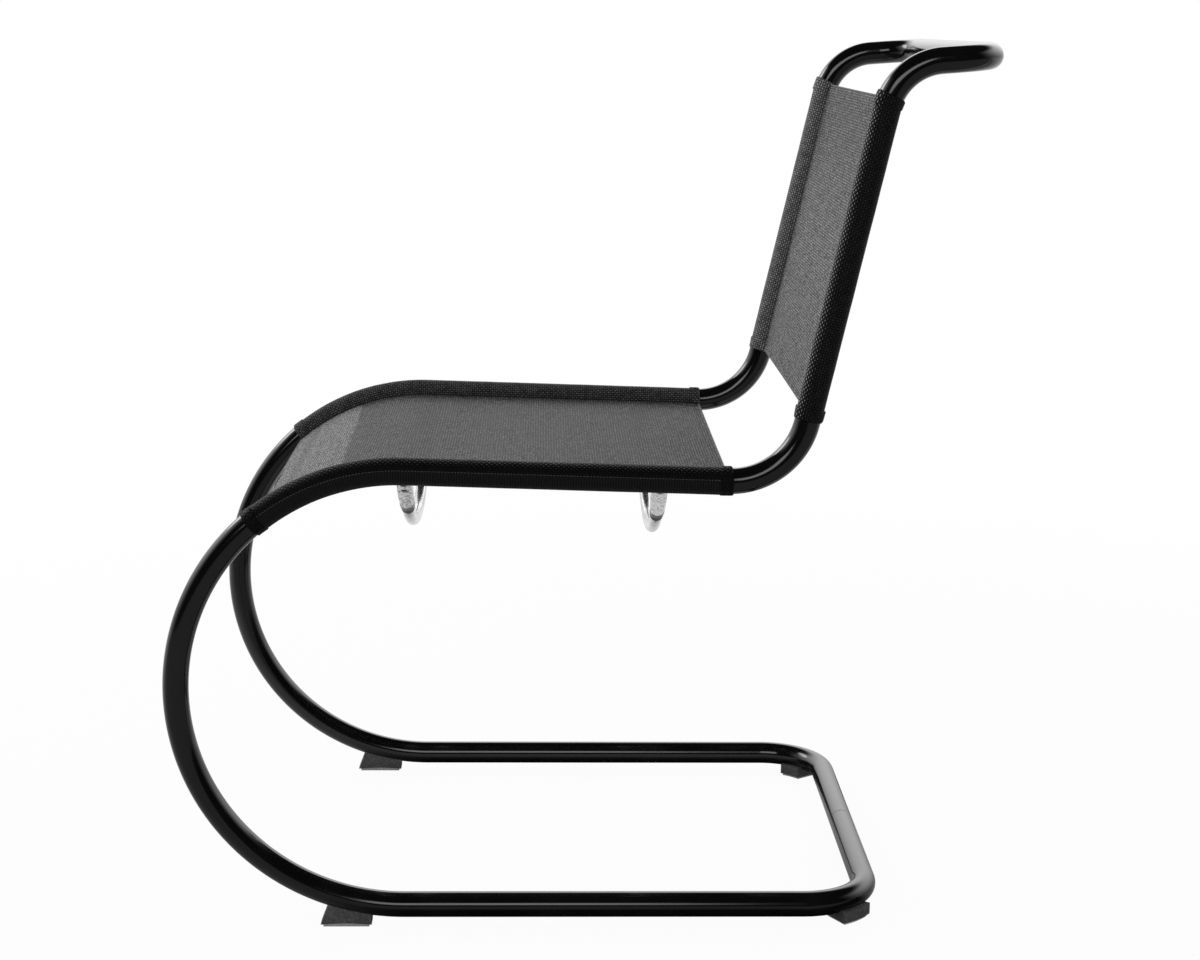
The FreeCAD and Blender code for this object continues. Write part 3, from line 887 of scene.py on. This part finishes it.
# The back uses the seat's cloth with more painted sheen.
BACK_CLOTH = replace(SEAT_CLOTH, name="back_mesh_cloth", crest=grey(0.85, 0.855), sheen_share=0.84)
SEAT_SLEEVE = SleeveCloth("seat_sleeve_cloth", "sleeve_cloth", grey(0.002), grey(0.01, 0.0102),
                          pitch=2.4209 * MM, glint_share=0.55,
                          slub=Grain(200, 4, ramp=(0.3, 0.7, 0.5, 1.25)), roughness=0.7,
                          rougher=-0.2, height=0.3 * MM, strength=0.9, specular=0.08)
# The back sleeve is a copy of the seat sleeve with brighter painted light.
BACK_SLEEVE = replace(SEAT_SLEEVE, name="back_sleeve_cloth", crest=grey(0.03, 0.0303),
                      lit_side_valley=grey(0.04), lit_side_crest=grey(0.58, 0.585), lean=0.065)
BINDING_TAPE = RibbedTape("ribbed_binding_tape", "sleeve_cloth", grey(0.002), grey(0.02, 0.0205),
                          2.5 * MM, roughness=0.55, rougher=0.15, height=0.2 * MM, strength=0.8,
                          specular=0.12)
# Its light colour is a painted highlight along the panel's rolled edges.
RIM_LIT_EDGE_TAPE = replace(BINDING_TAPE, name="edge_tape", slot="mesh_cloth", valley=grey(0.06),
                    crest=grey(0.6, 0.605), pitch=2.0 * MM)
THREAD = Mottled("black_thread", "sleeve_cloth", grey(0.05), grey(0.14), mottle=Grain(1500, 1),
                 roughness=0.45, rougher=0.2, height=0.05 * MM)
BRACE_CHROME = Mottled("polished_chrome", "brace_chrome", grey(0.59, 0.6), grey(0.44, 0.45),
                       mottle=Grain(40, 4, ramp=(0.4, 0.75)), roughness=0.16, rougher=0.08,
                       relief=Grain(300, 2), height=0.01 * MM, strength=0.15, metallic=0.92)
COLLAR_NICKEL = Mottled("satin_nickel", "collar_satin", grey(0.88, 0.89), grey(0.3, 0.305),
                        mottle=Grain(420, 2, roughness=0.5, ramp=(0.5, 0.61)), roughness=0.3,
                        rougher=0.18, height=0.08 * MM, metallic=0.4)
# The rear collar's copy of the nickel, whiter and less metallic: painted light.
LIT_COPY_NICKEL = replace(COLLAR_NICKEL, name="bright_nickel", colour=grey(1.0),
                        second=grey(0.54, 0.55), metallic=0.02)
RING_NICKEL = replace(COLLAR_NICKEL, name="dull_ring_nickel", colour=grey(0.22, 0.225),
                      second=grey(0.12), metallic=0.8)
GLIDE_PLASTIC = MouldedPlastic("charcoal_glide", "glide_black", grey(0.053, 0.054), grey(0.17),
                               roughness=0.5, rougher=0.15, height=0.08 * MM)
SOFT_BLACK = replace(GLIDE_PLASTIC, name="soft_black_bush", slot="soft_black", colour=grey(0.01),
                     scuffed=grey(0.03))
PAD_PLASTIC = replace(GLIDE_PLASTIC, name="pale_pad", slot="pad_grey", colour=grey(0.5, 0.49),
                      scuffed=grey(0.4, 0.39), roughness=0.55)
SCREW_STEEL = Mottled("plated_screw_steel", "bare_steel", grey(0.5), grey(0.32, 0.33),
                      mottle=Grain(300, 3, (1.0, 8.0, 1.0)), roughness=0.3, rougher=0.15,
                      height=0.02 * MM, strength=0.4, metallic=1.0)


# Meshes


def stand(name: str, data: bpy.types.ID) -> Piece:
    """Make an object and link it to the scene.

    Args:
        name: The object's name.
        data: Its mesh, lamp or camera.

    Returns:
        The object.
    """
    thing = bpy.data.objects.new(name, data)
    bpy.context.scene.collection.objects.link(thing)
    return thing


def enrol(piece: Piece, finish: Finish, *nodes: str) -> Piece:
    """Put a piece on the chair's body, for the nodes that it stands for.

    Args:
        piece: The finished piece.
        finish: Its finish; not used.
        nodes: The CAD nodes that it replaces.

    Returns:
        The piece.
    """
    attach(piece, BODY)
    if nodes:
        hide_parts(*nodes)
    log.info("%s: %d faces", piece.name, len(piece.data.polygons))
    return piece


class Skin:
    """A mesh grown from rows of points, each of which closes on itself."""

    def __init__(self, rows: Sequence[Sequence[Vector]], uv: Callable[[int, int], Span],
                 closed: bool = False) -> None:
        """Join neighbouring rows with quads.

        Args:
            rows: The rows, all with the same number of points.
            uv: The texture place of row i and column j, where j may be one past the last.
            closed: True if the last row joins the first, and not to cap them both.
        """
        self.points = [point for row in rows for point in row]
        self.faces: list[list[int]] = []
        self.uvs: list[list[Span]] = []
        width = len(rows[0])
        for i in range(len(rows) if closed else len(rows) - 1):
            for j in range(width):
                corners = [(i, j), (i + 1, j), (i + 1, j + 1), (i, j + 1)]
                self.faces.append([a % len(rows) * width + b % width for a, b in corners])
                self.uvs.append([uv(a, b) for a, b in corners])
        for i in () if closed else (0, len(rows) - 1):
            self.faces.append([i * width + j for j in range(width)])
            self.uvs.append([uv(i, j) for j in range(width)])

    def build(self, name: str, finish: Finish, *nodes: str, sharp: float = 50.0) -> Piece:
        """Make the piece, its faces pointing outwards, and enrol it.

        Args:
            name: The piece's name.
            finish: Its finish.
            nodes: The CAD nodes that it replaces.
            sharp: The angle in degrees past which an edge is sharp.

        Returns:
            The piece.
        """
        mesh = bpy.data.meshes.new(name)
        mesh.from_pydata([p[:] for p in self.points], [], self.faces)
        flat = [value for face in self.uvs for pair in face for value in pair]
        mesh.uv_layers.new(name="cloth").data.foreach_set("uv", flat)
        grown = bmesh.new()
        grown.from_mesh(mesh)
        bmesh.ops.recalc_face_normals(grown, faces=grown.faces)
        grown.to_mesh(mesh)
        grown.free()
        mesh.shade_smooth()
        mesh.set_sharp_from_angle(angle=radians(sharp))
        mesh.materials.append(finish.material())
        return enrol(stand(name, mesh), finish, *nodes)


# Geometry Nodes


class Recipe(Nodes):
    """A Geometry Nodes tree with named inputs, which bakes a line to a plain mesh."""

    family = "GeometryNode"

    def __init__(self, name: str, **numbers: float) -> None:
        """Make the tree's interface: geometry, a material and numbers.

        Args:
            name: The tree's name.
            numbers: The default value of each number, by its name.
        """
        super().__init__(bpy.data.node_groups.new(name, "GeometryNodeTree"))
        face = self.tree.interface
        for way in ("INPUT", "OUTPUT"):
            face.new_socket("Geometry", in_out=way, socket_type="NodeSocketGeometry")
        self.ids: dict[str, str] = {}
        for label, default in {**numbers, "Material": None}.items():
            kind = {float: "Float", int: "Int"}.get(type(default), "Material")
            socket = face.new_socket(label, in_out="INPUT", socket_type="NodeSocket" + kind)
            if default is not None:
                socket.default_value = default
            self.ids[label] = socket.identifier
        self.given = self.node("NodeGroupInput").outputs
        self.leave = self.node("NodeGroupOutput")
        self.curve = self.node("MeshToCurve", {"Mesh": self.given["Geometry"]})

    def finish(self, geometry: bpy.types.Node) -> "Recipe":
        """End the tree in Realize Instances and Set Material.

        Args:
            geometry: The node whose geometry is the result.

        Returns:
            The recipe itself.
        """
        real = self.node("RealizeInstances", {"Geometry": geometry})
        dressed = self.node("SetMaterial", {"Geometry": real, "Material": self.given["Material"]})
        self.feed(self.leave.inputs["Geometry"], dressed)
        return self

    def bake(self, name: str, points: Sequence[Vector], finish: Finish, *nodes: str,
             **values: float) -> Piece:
        """Run the tree along a line, keep the result as a plain mesh and enrol it.

        Args:
            name: The piece's name.
            points: The line's points.
            finish: The piece's finish.
            nodes: The CAD nodes that it replaces.
            values: Values of the tree's numbers.

        Returns:
            The piece.
        """
        line = bpy.data.meshes.new("line")
        edges = [(i, i + 1) for i in range(len(points) - 1)]
        line.from_pydata([p[:] for p in points], edges, [])
        base = stand("line", line)
        modifier = base.modifiers.new("recipe", "NODES")
        modifier.node_group = self.tree
        for label, value in {**values, "Material": finish.material()}.items():
            modifier[self.ids[label]] = value
        graph = bpy.context.evaluated_depsgraph_get()
        mesh = bpy.data.meshes.new_from_object(base.evaluated_get(graph))
        base.modifiers.remove(modifier)
        mesh.name = name
        mesh.shade_smooth()
        bpy.data.objects.remove(base)
        return enrol(stand(name, mesh), finish, *nodes)


def rod_recipe() -> Recipe:
    """A round rod along a line."""
    recipe = Recipe("rod_along_line", Radius=5 * MM, Sides=48)
    circle = recipe.node("CurvePrimitiveCircle", {
        "Resolution": recipe.given["Sides"], "Radius": recipe.given["Radius"]}, mode="RADIUS")
    return recipe.finish(recipe.node("CurveToMesh", {
        "Curve": recipe.curve, "Profile Curve": circle, "Fill Caps": True}))


def stitch_recipe() -> Recipe:
    """Rounded stitches at an even pitch along a line."""
    recipe = Recipe("stitches_along_line", Pitch=3 * MM, Length=2 * MM, Radius=0.25 * MM)
    spots = recipe.node("CurveToPoints", {
        "Curve": recipe.curve, "Length": recipe.given["Pitch"]}, mode="LENGTH")
    bead = recipe.node("MeshUVSphere", {"Segments": 6, "Rings": 5, "Radius": 1.0})
    half = recipe.node("ShaderNodeMath", {0: recipe.given["Length"], 1: 0.5}, operation="MULTIPLY")
    size = recipe.node("ShaderNodeCombineXYZ", {
        "X": recipe.given["Radius"], "Y": recipe.given["Radius"], "Z": half})
    thread = recipe.node("Transform", {"Geometry": bead, "Scale": size})
    return recipe.finish(recipe.node("InstanceOnPoints", {
        "Points": spots, "Instance": thread, "Rotation": spots.outputs["Rotation"]}))


# Sub-assemblies


@dataclass
class TubeFrame:
    """The one bent tube that is the whole frame."""

    paths: ChairPaths
    sides: int = 72
    steps: Span = (60 * MM, 1.5)
    end_round: float = 0.3 * MM
    round_shares: Span = (0.3, 0.7)

    def build(self) -> None:
        """Make the tube from the base seam, up one side, across the top and back."""
        sizes = self.paths.sizes
        path = self.paths.half_frame()
        profile = [(0.0, sizes.tube_bore), (0.0, sizes.tube_radius - self.end_round)]
        for share in self.round_shares:
            drop = self.end_round * (1 - sin(share * pi / 2))
            along = self.end_round * (1 - cos(share * pi / 2))
            profile.append((along, sizes.tube_radius - drop))
        marks = path.stations(self.end_round, path.length(), *self.steps)
        marks.insert(1, 2 * self.end_round)
        profile += [(mark, sizes.tube_radius) for mark in marks]
        left = [path.ring(mark, even_spots(self.sides, radius)) for mark, radius in profile]
        right = [[Side.RIGHT.place(point) for point in row] for row in reversed(left[:-1])]
        rows = left + right
        skin = Skin(rows, lambda i, j: (j / self.sides, i / len(rows)))
        skin.build("frame_tube_gloss", FRAME_COAT, "frame_tube", sharp=40)


@dataclass
class Sling:
    """A woven panel with its turned hems and rolled edges, its rail sleeves and its stitching."""

    name: str
    paths: ChairPaths
    sizes: SlingSizes
    cloth: MeshCloth
    sleeve: SleeveCloth
    first: float
    last: float
    insets: Span
    hems: Span
    sag: float
    bow: float = 0.0
    crease: float = 0.0
    has_binding: bool = False
    around: int = 56
    across: int = 32
    stitches: Recipe = field(default_factory=stitch_recipe)

    def build(self) -> None:
        """Make all the pieces of the sling."""
        half = self.sizes.panel_cloth / 2
        slab = self._slab(*self._reach(), half, half)
        panel = slab.build(self.name + "_mesh", self.cloth, self.name + "_panel", sharp=60)
        extras = [self._hem(end) for end in End] + [self._edge(end) for end in End]
        for side in Side:
            extras.append(self._sleeve(side))
            if self.has_binding:
                extras.append(self._binding(side))
            extras += self._seams(side)

    def _reach(self) -> Span:
        """Where the panel starts and ends along the middle path."""
        return self.first + self.insets[0], self.last - self.insets[1]

    def _half_width(self) -> float:
        """Half the panel's width, to the sleeves' inner sides."""
        s = self.sizes
        reach = sqrt(s.sleeve_radius ** 2 - s.panel_set_back ** 2)
        return self.paths.sizes.rail_x - reach + s.panel_tuck

    def _shares(self) -> list[float]:
        """The places of the panel's points across it, from -1 to 1."""
        return [-1 + 2 * j / self.across for j in range(self.across + 1)]

    def _panel_point(self, distance: float, share: float, lift: float) -> Vector:
        """A point of the panel.

        Args:
            distance: Where it is along the middle path.
            share: Where it is across, from -1 to 1.
            lift: How far it is from the panel's middle surface, towards the sitter.

        Returns:
            The point.
        """
        s = self.sizes
        low, high = self._reach()
        along = (distance - low) / (high - low)
        arch = 1 - share ** 2
        sag = self.sag * arch * sin(pi * (s.sag_from + s.sag_over * along))
        if self.crease:
            off_crease = (distance - low - self.crease) / s.crease_spread
            sag += s.crease_depth * exp(-off_crease ** 2) * arch ** 0.5
        distance -= self.bow * arch * max(0.0, 1 - s.bow_over * along)
        point, _, up = self.paths.middle.frame_at(distance)
        across = X_AXIS * (share * self._half_width())
        return point + across + up * (lift - s.panel_set_back - sag)

    def _slab(self, low: float, high: float, under: float, over: float) -> Skin:
        """A thin closed slab of cloth that follows the panel.

        Args:
            low: Where it starts along the middle path.
            high: Where it ends.
            under: How far its back lies behind the panel's middle surface.
            over: How far its face lies before it.

        Returns:
            The skin.
        """
        marks = self.paths.middle.stations(low, high, *self.sizes.panel_steps)
        shares = self._shares()
        places = [(share, over) for share in shares]
        places += [(share, -under) for share in reversed(shares)]
        rows = [[self._panel_point(mark, *place) for place in places] for mark in marks]
        half = self._half_width()
        return Skin(rows, lambda i, j: (places[j % len(places)][0] * half, marks[i]))

    def _hem(self, end: End) -> Piece:
        """The turned hem behind one end of the panel.

        Args:
            end: The panel's end.

        Returns:
            The piece.
        """
        low, high = self._reach()
        if end is End.START:
            high = low + self.hems[0]
        else:
            low = high - self.hems[1]
        gap = self.sizes.panel_cloth / 2 + self.sizes.turned_gap
        slab = self._slab(low, high, gap + self.sizes.turned_cloth, -gap)
        return slab.build("%s_hem_%s" % (self.name, end.label), self.cloth, sharp=60)

    def _edge(self, end: End) -> Piece:
        """The rolled edge across one end of the panel.

        Args:
            end: The panel's end.

        Returns:
            The piece.
        """
        s = self.sizes
        low, high = self._reach()
        mark, outward = (low, -1) if end is End.START else (high, 1)
        rows = []
        for share in self._shares():
            middle, beyond = (self._panel_point(place, share * s.edge_reach, s.edge_lift)
                              for place in (mark, mark + outward * MM))
            along = (beyond - middle).normalized()
            spots = even_spots(s.edge_sides, s.edge_radius)
            rows.append(ring(middle, along, along.cross(X_AXIS), spots))
        turn = 2 * pi * s.edge_radius / s.edge_sides
        skin = Skin(rows, lambda i, j: (j * turn, i * 2 * self._half_width() / self.across))
        # The tape's light colour paints a highlight along the edge.
        return skin.build("%s_edge_%s" % (self.name, end.label), RIM_LIT_EDGE_TAPE)

    def _sleeve_profile(self) -> list[Span]:
        """The sleeve's outside as (distance, radius), with a rounded hem band at each end."""
        s = self.sizes
        start = [(0.0, s.sleeve_inner)]
        for base, shape in ((0.0, s.hem_rise), (s.hem_band, s.hem_fall)):
            start += [(base + a * s.hem_edge, s.hem_radius - d * s.hem_edge) for a, d in shape]
        start += [(s.hem_band + step, s.sleeve_radius) for step in (s.hem_step, s.hem_edge)]
        begin = [(self.first + d, r) for d, r in start]
        end = [(self.last - d, r) for d, r in reversed(start)]
        marks = self.paths.side.stations(begin[-1][0], end[0][0], *s.sleeve_steps)
        return begin + [(mark, s.sleeve_radius) for mark in marks[1:-1]] + end

    def _ease(self, distance: float, angle: float) -> float:
        """How far the sleeve stands off its round at a place, more on its hem bands.

        Args:
            distance: Where the place is along the sleeve.
            angle: Where it is round the sleeve, from its inboard side.

        Returns:
            The stand-off.
        """
        s = self.sizes
        ripple = s.sleeve_ripple.lift(angle, distance)
        if min(distance - self.first, self.last - distance) < s.hem_band:
            ripple += s.hem_ripple.lift(angle, distance)
        off_seam = degrees(angle) - (s.seam_angle % 360)
        return ripple + s.seam_ridge * exp(-(off_seam / s.seam_spread) ** 2)

    def _sleeve(self, side: Side) -> Piece:
        """The sleeve round one rail.

        Args:
            side: The rail's side.

        Returns:
            The piece.
        """
        s = self.sizes
        path = self.paths.side
        inside = path.stations(self.first, self.last, *s.sleeve_steps)[-2:0:-1]
        profile = self._sleeve_profile() + [(mark, s.sleeve_inner) for mark in inside]
        rows = []
        for mark, radius in profile:
            spots = even_spots(self.around, radius)
            if radius > s.sleeve_inner:
                spots = [(angle, r + self._ease(mark, angle)) for angle, r in spots]
            rows.append(path.ring(mark, spots, side))
        turn = 2 * pi * s.sleeve_radius / self.around
        skin = Skin(rows, lambda i, j: (j * turn, profile[i % len(profile)][0]), closed=True)
        name = "%s_sleeve_%s" % (self.name, side.label)
        return skin.build(name + "_cloth", self.sleeve, name)

    def _binding(self, side: Side) -> Piece:
        """The ribbed tape that closes a sleeve along its outer and lower side.

        Args:
            side: The sleeve's side.

        Returns:
            The piece.
        """
        s = self.sizes
        inset = s.hem_band + s.binding_gap
        marks = self.paths.side.stations(self.first + inset, self.last - inset, *s.sleeve_steps)
        spread = s.binding_bottom - s.binding_top
        turns = [s.binding_top + spread * j / s.binding_strips for j in range(s.binding_strips + 1)]
        edge = s.binding_radius - s.binding_thinner
        loop = [(turns[0], edge), *((turn, s.binding_radius) for turn in turns[1:-1]),
                (turns[-1], edge)]
        loop += [(turn, s.sleeve_radius - s.binding_under) for turn in reversed(turns)]
        rows = []
        for mark in marks:
            spots = []
            for turn, radius in loop:
                place = turn / s.binding_wave_turn, 0.0, mark / s.binding_wave_pitch
                wave = noise.noise(Vector(place)) * s.binding_wave
                spots.append((radians(turn), radius + wave))
            rows.append(self.paths.side.ring(mark, spots, side))
        skin = Skin(rows, lambda i, j: (radians(loop[j % len(loop)][0]) * s.sleeve_radius,
                                        marks[i]))
        name = "%s_binding_%s" % (self.name, side.label)
        return skin.build(name + "_tape", BINDING_TAPE, name)

    def _seams(self, side: Side) -> list[Piece]:
        """The stitched lines of one side, on the panel and on the binding.

        Args:
            side: The panel's side.

        Returns:
            The pieces.
        """
        s = self.sizes
        path, middle = self.paths.side, self.paths.middle
        low = self.first + s.hem_band + s.stitch_gap
        high = self.last - s.hem_band - s.stitch_gap
        share = side.value * (1 - s.stitch_inset / self._half_width())
        lift = s.panel_cloth / 2 + s.stitch_radius / 2
        lines = {"panel": [self._panel_point(mark, share, lift)
                           for mark in middle.stations(low, high, *s.panel_stitch_steps)]}
        if self.has_binding:
            spots = [(radians(s.binding_top + s.stitch_turn), s.binding_radius)]
            lines["tape"] = [path.ring(mark, spots, side)[0]
                             for mark in path.stations(low, high, *s.tape_stitch_steps)]
        return [self.stitches.bake("%s_stitch_%s_%s" % (self.name, label, side.label), points,
                                   THREAD, Pitch=s.stitch_pitch, Length=s.stitch_length,
                                   Radius=s.stitch_radius) for label, points in lines.items()]


@dataclass
class Brace:
    """A bowed rod under the seat."""

    name: str
    paths: ChairPaths
    sizes: BraceSizes
    offset: float
    rods: Recipe = field(default_factory=rod_recipe)

    def build(self) -> None:
        """Make the rod."""
        s = self.sizes
        path = self.paths.brace(self.offset, s.sag)
        marks = path.stations(s.rod_start, path.length() - s.rod_start, *s.rod_steps)
        name = "brace_rod_" + self.name
        piece = self.rods.bake(name + "_chrome", [path.frame_at(mark)[0] for mark in marks],
                               BRACE_CHROME, name, Radius=s.rod_radius, Sides=s.rod_sides)
        piece.data.set_sharp_from_angle(angle=radians(s.rod_sharp))


@dataclass
class Fittings:
    """The CAD pieces that keep their shape and get a finish, by the start of their names."""

    finishes: tuple[tuple[Finish, tuple[str, ...]], ...] = (
        (COLLAR_NICKEL, ("brace_collar_front",)),
        # The rear collar gets a lit copy of the collar nickel: painted light.
        (LIT_COPY_NICKEL, ("brace_collar_rear",)),
        (RING_NICKEL, ("brace_lock_rings",)),
        (SOFT_BLACK, ("brace_saddle", "brace_bushes", "collar_screws")),
        (GLIDE_PLASTIC, ("glide_front", "glide_rear")),
        (PAD_PLASTIC, ("pad_",)),
        (SCREW_STEEL, ("seam_", "glide_screws", "brace_studs", "rail_inserts")),
    )

    def build(self) -> None:
        """Give each CAD piece that shows its finish."""
        for node, thing in frame["nodes"].items():
            for finish, starts in self.finishes:
                if node.startswith(starts):
                    thing.data.materials.clear()
                    thing.data.materials.append(finish.material())
                    log.info("%s: finish %s", node, finish.name)


# Studio


@dataclass(frozen=True)
class LightPatch:
    """A soft-edged bright patch of the surround, in degrees from +X and above the horizon."""

    first: float
    last: float
    low: float
    high: float
    level: float
    edge: float = 4.0

    def light(self, azimuth: Signal, height: Signal) -> Signal:
        """Its light in each direction.

        Args:
            azimuth: The direction's turn from +X, in degrees.
            height: Its height above the horizon, in degrees.

        Returns:
            The level of the light.
        """
        across = azimuth.ramp(self.first - self.edge, self.first)
        across = across * azimuth.fall(self.last, self.last + self.edge)
        up = height.ramp(self.low - self.edge, self.low)
        return across * (up * height.fall(self.high, self.high + self.edge)) * self.level


@dataclass(frozen=True)
class Studio:
    """A pale floor, a white surround that is dark towards the camera, and one soft lamp.

    Spans on the floor are metres from its middle, or from the rails' outer side for the painted
    shade on the floor beside the rails, which they reflect. Spans of the backdrop are degrees above
    the horizon, or the X of a direction.
    """

    rail_side: float = 247.5 * MM
    floor_size: float = 24.0
    floor_colour: Triple = grey(0.97)
    floor_in_gloss: Triple = grey(0.42)
    floor_dark: Triple = grey(0.01)
    floor_white: float = 0.95
    floor_roughness: float = 0.9
    floor_fade: Span = (0.9, 2.4)
    gloss_near: Span = (-0.2, 0.5)
    gloss_far: Span = (3.0, 3.8)
    gloss_white: Span = (-1.4, -0.2)
    rail_across: Span = (0.02, 0.075)
    rail_along: Span = (-0.28, -0.16)
    fill: float = 0.6
    dark_level: float = 0.012
    backdrop_level: float = 2.5
    backdrop_turn: Span = (-0.5, 0.4)
    backdrop_top: Span = (29.0, 44.0)
    backdrop_low: Span = (-5.0, 29.0)
    horizon_share: float = 0.3
    strip: LightPatch = LightPatch(-33, 2, 15, 27, 3.4)
    lamp_turn: float = -125.0
    lamp_lift: float = 32.0
    lamp_reach: float = 3.6
    lamp_aim: float = 0.4
    lamp_size: float = 1.5
    lamp_power: float = 30.0

    def build(self) -> None:
        """Make the floor, the surround and the lamp."""
        self._floor()
        self._surround()
        self._lamp()

    def _floor(self) -> None:
        """The floor, marked as no part of the chair."""
        half = self.floor_size / 2
        corners = [(-half, -half, 0), (half, -half, 0), (half, half, 0), (-half, half, 0)]
        mesh = bpy.data.meshes.new("floor")
        mesh.from_pydata(corners, [], [(0, 1, 2, 3)])
        paint = Paint("pale_floor")
        glossy, seen = paint.rays()
        x, y, _ = paint.split(paint.position())
        reach = (x * x + y * y) ** 0.5
        # Painted shade on the floor beside the rails, seen only in reflections.
        painted_rail_shade = (x.size() - self.rail_side).size().fall(*self.rail_across)
        dark = x.ramp(*self.gloss_far).most(painted_rail_shade * y.ramp(*self.rail_along)) * glossy
        tone = paint.blend(x.ramp(*self.gloss_near) * glossy,
                           self.floor_colour, self.floor_in_gloss)
        paint.surface(Base_Color=paint.blend(dark, tone, self.floor_dark),
                      Roughness=self.floor_roughness, Specular_IOR_Level=0.0)
        share = seen * reach.ramp(*self.floor_fade, self.floor_white, 1.0)
        share = share + glossy * x.fall(*self.gloss_white)
        white = paint.node("Emission", {"Strength": 1.0})
        mixed = paint.node("MixShader", {0: share, 1: paint.shader, 2: white})
        paint.feed(paint.out.inputs["Surface"], mixed)
        mesh.materials.append(paint.material)
        stand("floor", mesh)

    def _surround(self) -> None:
        """The world: white to the camera, even to the chair's colours, a studio to its gloss."""
        world = bpy.data.worlds.new("studio")
        bpy.context.scene.world = world
        world.use_nodes = True
        sky = Nodes(world.node_tree)
        sky.tree.nodes.clear()
        x, y, z = sky.split(sky.node("TexCoord").outputs["Generated"])
        azimuth = y.apply("ARCTAN2", x) * (180 / pi)
        height = z.apply("ARCSINE") * (180 / pi)
        backdrop = x.ramp(*self.backdrop_turn, self.backdrop_level, 0.0)
        backdrop = backdrop * height.fall(*self.backdrop_top)
        backdrop = backdrop * height.ramp(*self.backdrop_low, self.horizon_share, 1.0)
        gloss = backdrop + self.strip.light(azimuth, height) + self.dark_level
        glossy, seen = sky.rays()
        level = seen + (1 - seen) * (glossy * gloss + (1 - glossy) * self.fill)
        light = sky.node("Background", {"Color": (1.0, 1.0, 1.0, 1.0), "Strength": level})
        sky.node("OutputWorld", {"Surface": light})

    def _lamp(self) -> None:
        """The soft lamp, high behind the chair."""
        turn = radians(self.lamp_turn)
        lift = radians(self.lamp_lift)
        level = cos(lift)
        aim = Vector((level * cos(turn), level * sin(turn), sin(lift)))
        data = bpy.data.lights.new("soft_lamp", "AREA")
        data.shape = "DISK"
        data.size = self.lamp_size
        data.energy = self.lamp_power
        lamp = stand("soft_lamp", data)
        lamp.location = Z_AXIS * self.lamp_aim + aim * self.lamp_reach
        lamp.rotation_euler = (-aim).to_track_quat("-Z", "Y").to_euler()


@dataclass(frozen=True)
class PhotoCamera:
    """The camera at the photograph's place, for an image of 1200 by 960 pixels."""

    place: Triple = (2.3516, -0.0335, 0.8724)
    yaw: float = -1.51
    pitch: float = 11.38
    roll: float = 0.54
    lens: float = 68.3
    sensor: float = 36.0
    sight: float = 60.0

    def build(self) -> None:
        """Make the camera, aim it and set it as the scene's."""
        yaw, pitch, roll = (radians(v) for v in (self.yaw, self.pitch, self.roll))
        flat = cos(pitch)
        ahead = Vector((-cos(yaw) * flat, -sin(yaw) * flat, -sin(pitch)))
        level = Vector((-sin(yaw), cos(yaw), 0))
        up = level.cross(ahead)
        right = level * cos(roll) + up * sin(roll)
        top = up * cos(roll) - level * sin(roll)
        data = bpy.data.cameras.new("photo_camera")
        data.sensor_fit = "HORIZONTAL"
        data.sensor_width = self.sensor
        data.lens = self.lens
        data.clip_end = self.sight
        camera = stand("photo_camera", data)
        turn = Matrix((right, top, -ahead)).transposed().to_4x4()
        camera.matrix_world = Matrix.Translation(Vector(self.place)) @ turn
        bpy.context.scene.camera = camera


def build_slings(paths: ChairPaths) -> None:
    """Make the seat and the back.

    Args:
        paths: The axes of the frame.
    """
    sizes = SlingSizes()
    hem = sizes.seat_front_hem
    low = paths.seat_start - sizes.seat_front_lap
    high = paths.seat_end + sizes.seat_rear_lap
    # The seat cloth gets painted sheen on its doubled hem and painted shade along its crease.
    cloth = replace(SEAT_CLOTH, doubled_to=low + hem, crease_shade_at=low + sizes.seat_crease)
    Sling("seat", paths, sizes, cloth, SEAT_SLEEVE, low, high, insets=(-1 * MM, 1.5 * MM),
          hems=(hem, sizes.plain_hem), sag=2 * MM, bow=5 * MM, crease=sizes.seat_crease,
          has_binding=True).build()
    low = paths.back_start + sizes.back_bottom_gap
    high = paths.back_end + sizes.back_top_lap
    # The back cloth gets painted shade towards its top.
    cloth = replace(BACK_CLOTH, top_shade_over=((low + high) / 2, high))
    Sling("back", paths, sizes, cloth, BACK_SLEEVE, low, high, insets=(2 * MM, 2.7 * MM),
          hems=(sizes.plain_hem, sizes.plain_hem), sag=1.5 * MM).build()


def main() -> None:
    """Build the chair, its finishes, the studio and the camera."""
    logging.basicConfig(level=logging.INFO, format="%(name)s %(message)s")
    bpy.context.scene.view_settings.view_transform = "Standard"
    paths = ChairPaths(FrameSizes())
    PhotoCamera().build()
    Studio().build()
    TubeFrame(paths).build()
    build_slings(paths)
    braces = BraceSizes()
    Brace("front", paths, braces, braces.front_offset).build()
    Brace("rear", paths, braces, braces.rear_offset).build()
    Fittings().build()


if __name__ == "__main__":
    main()
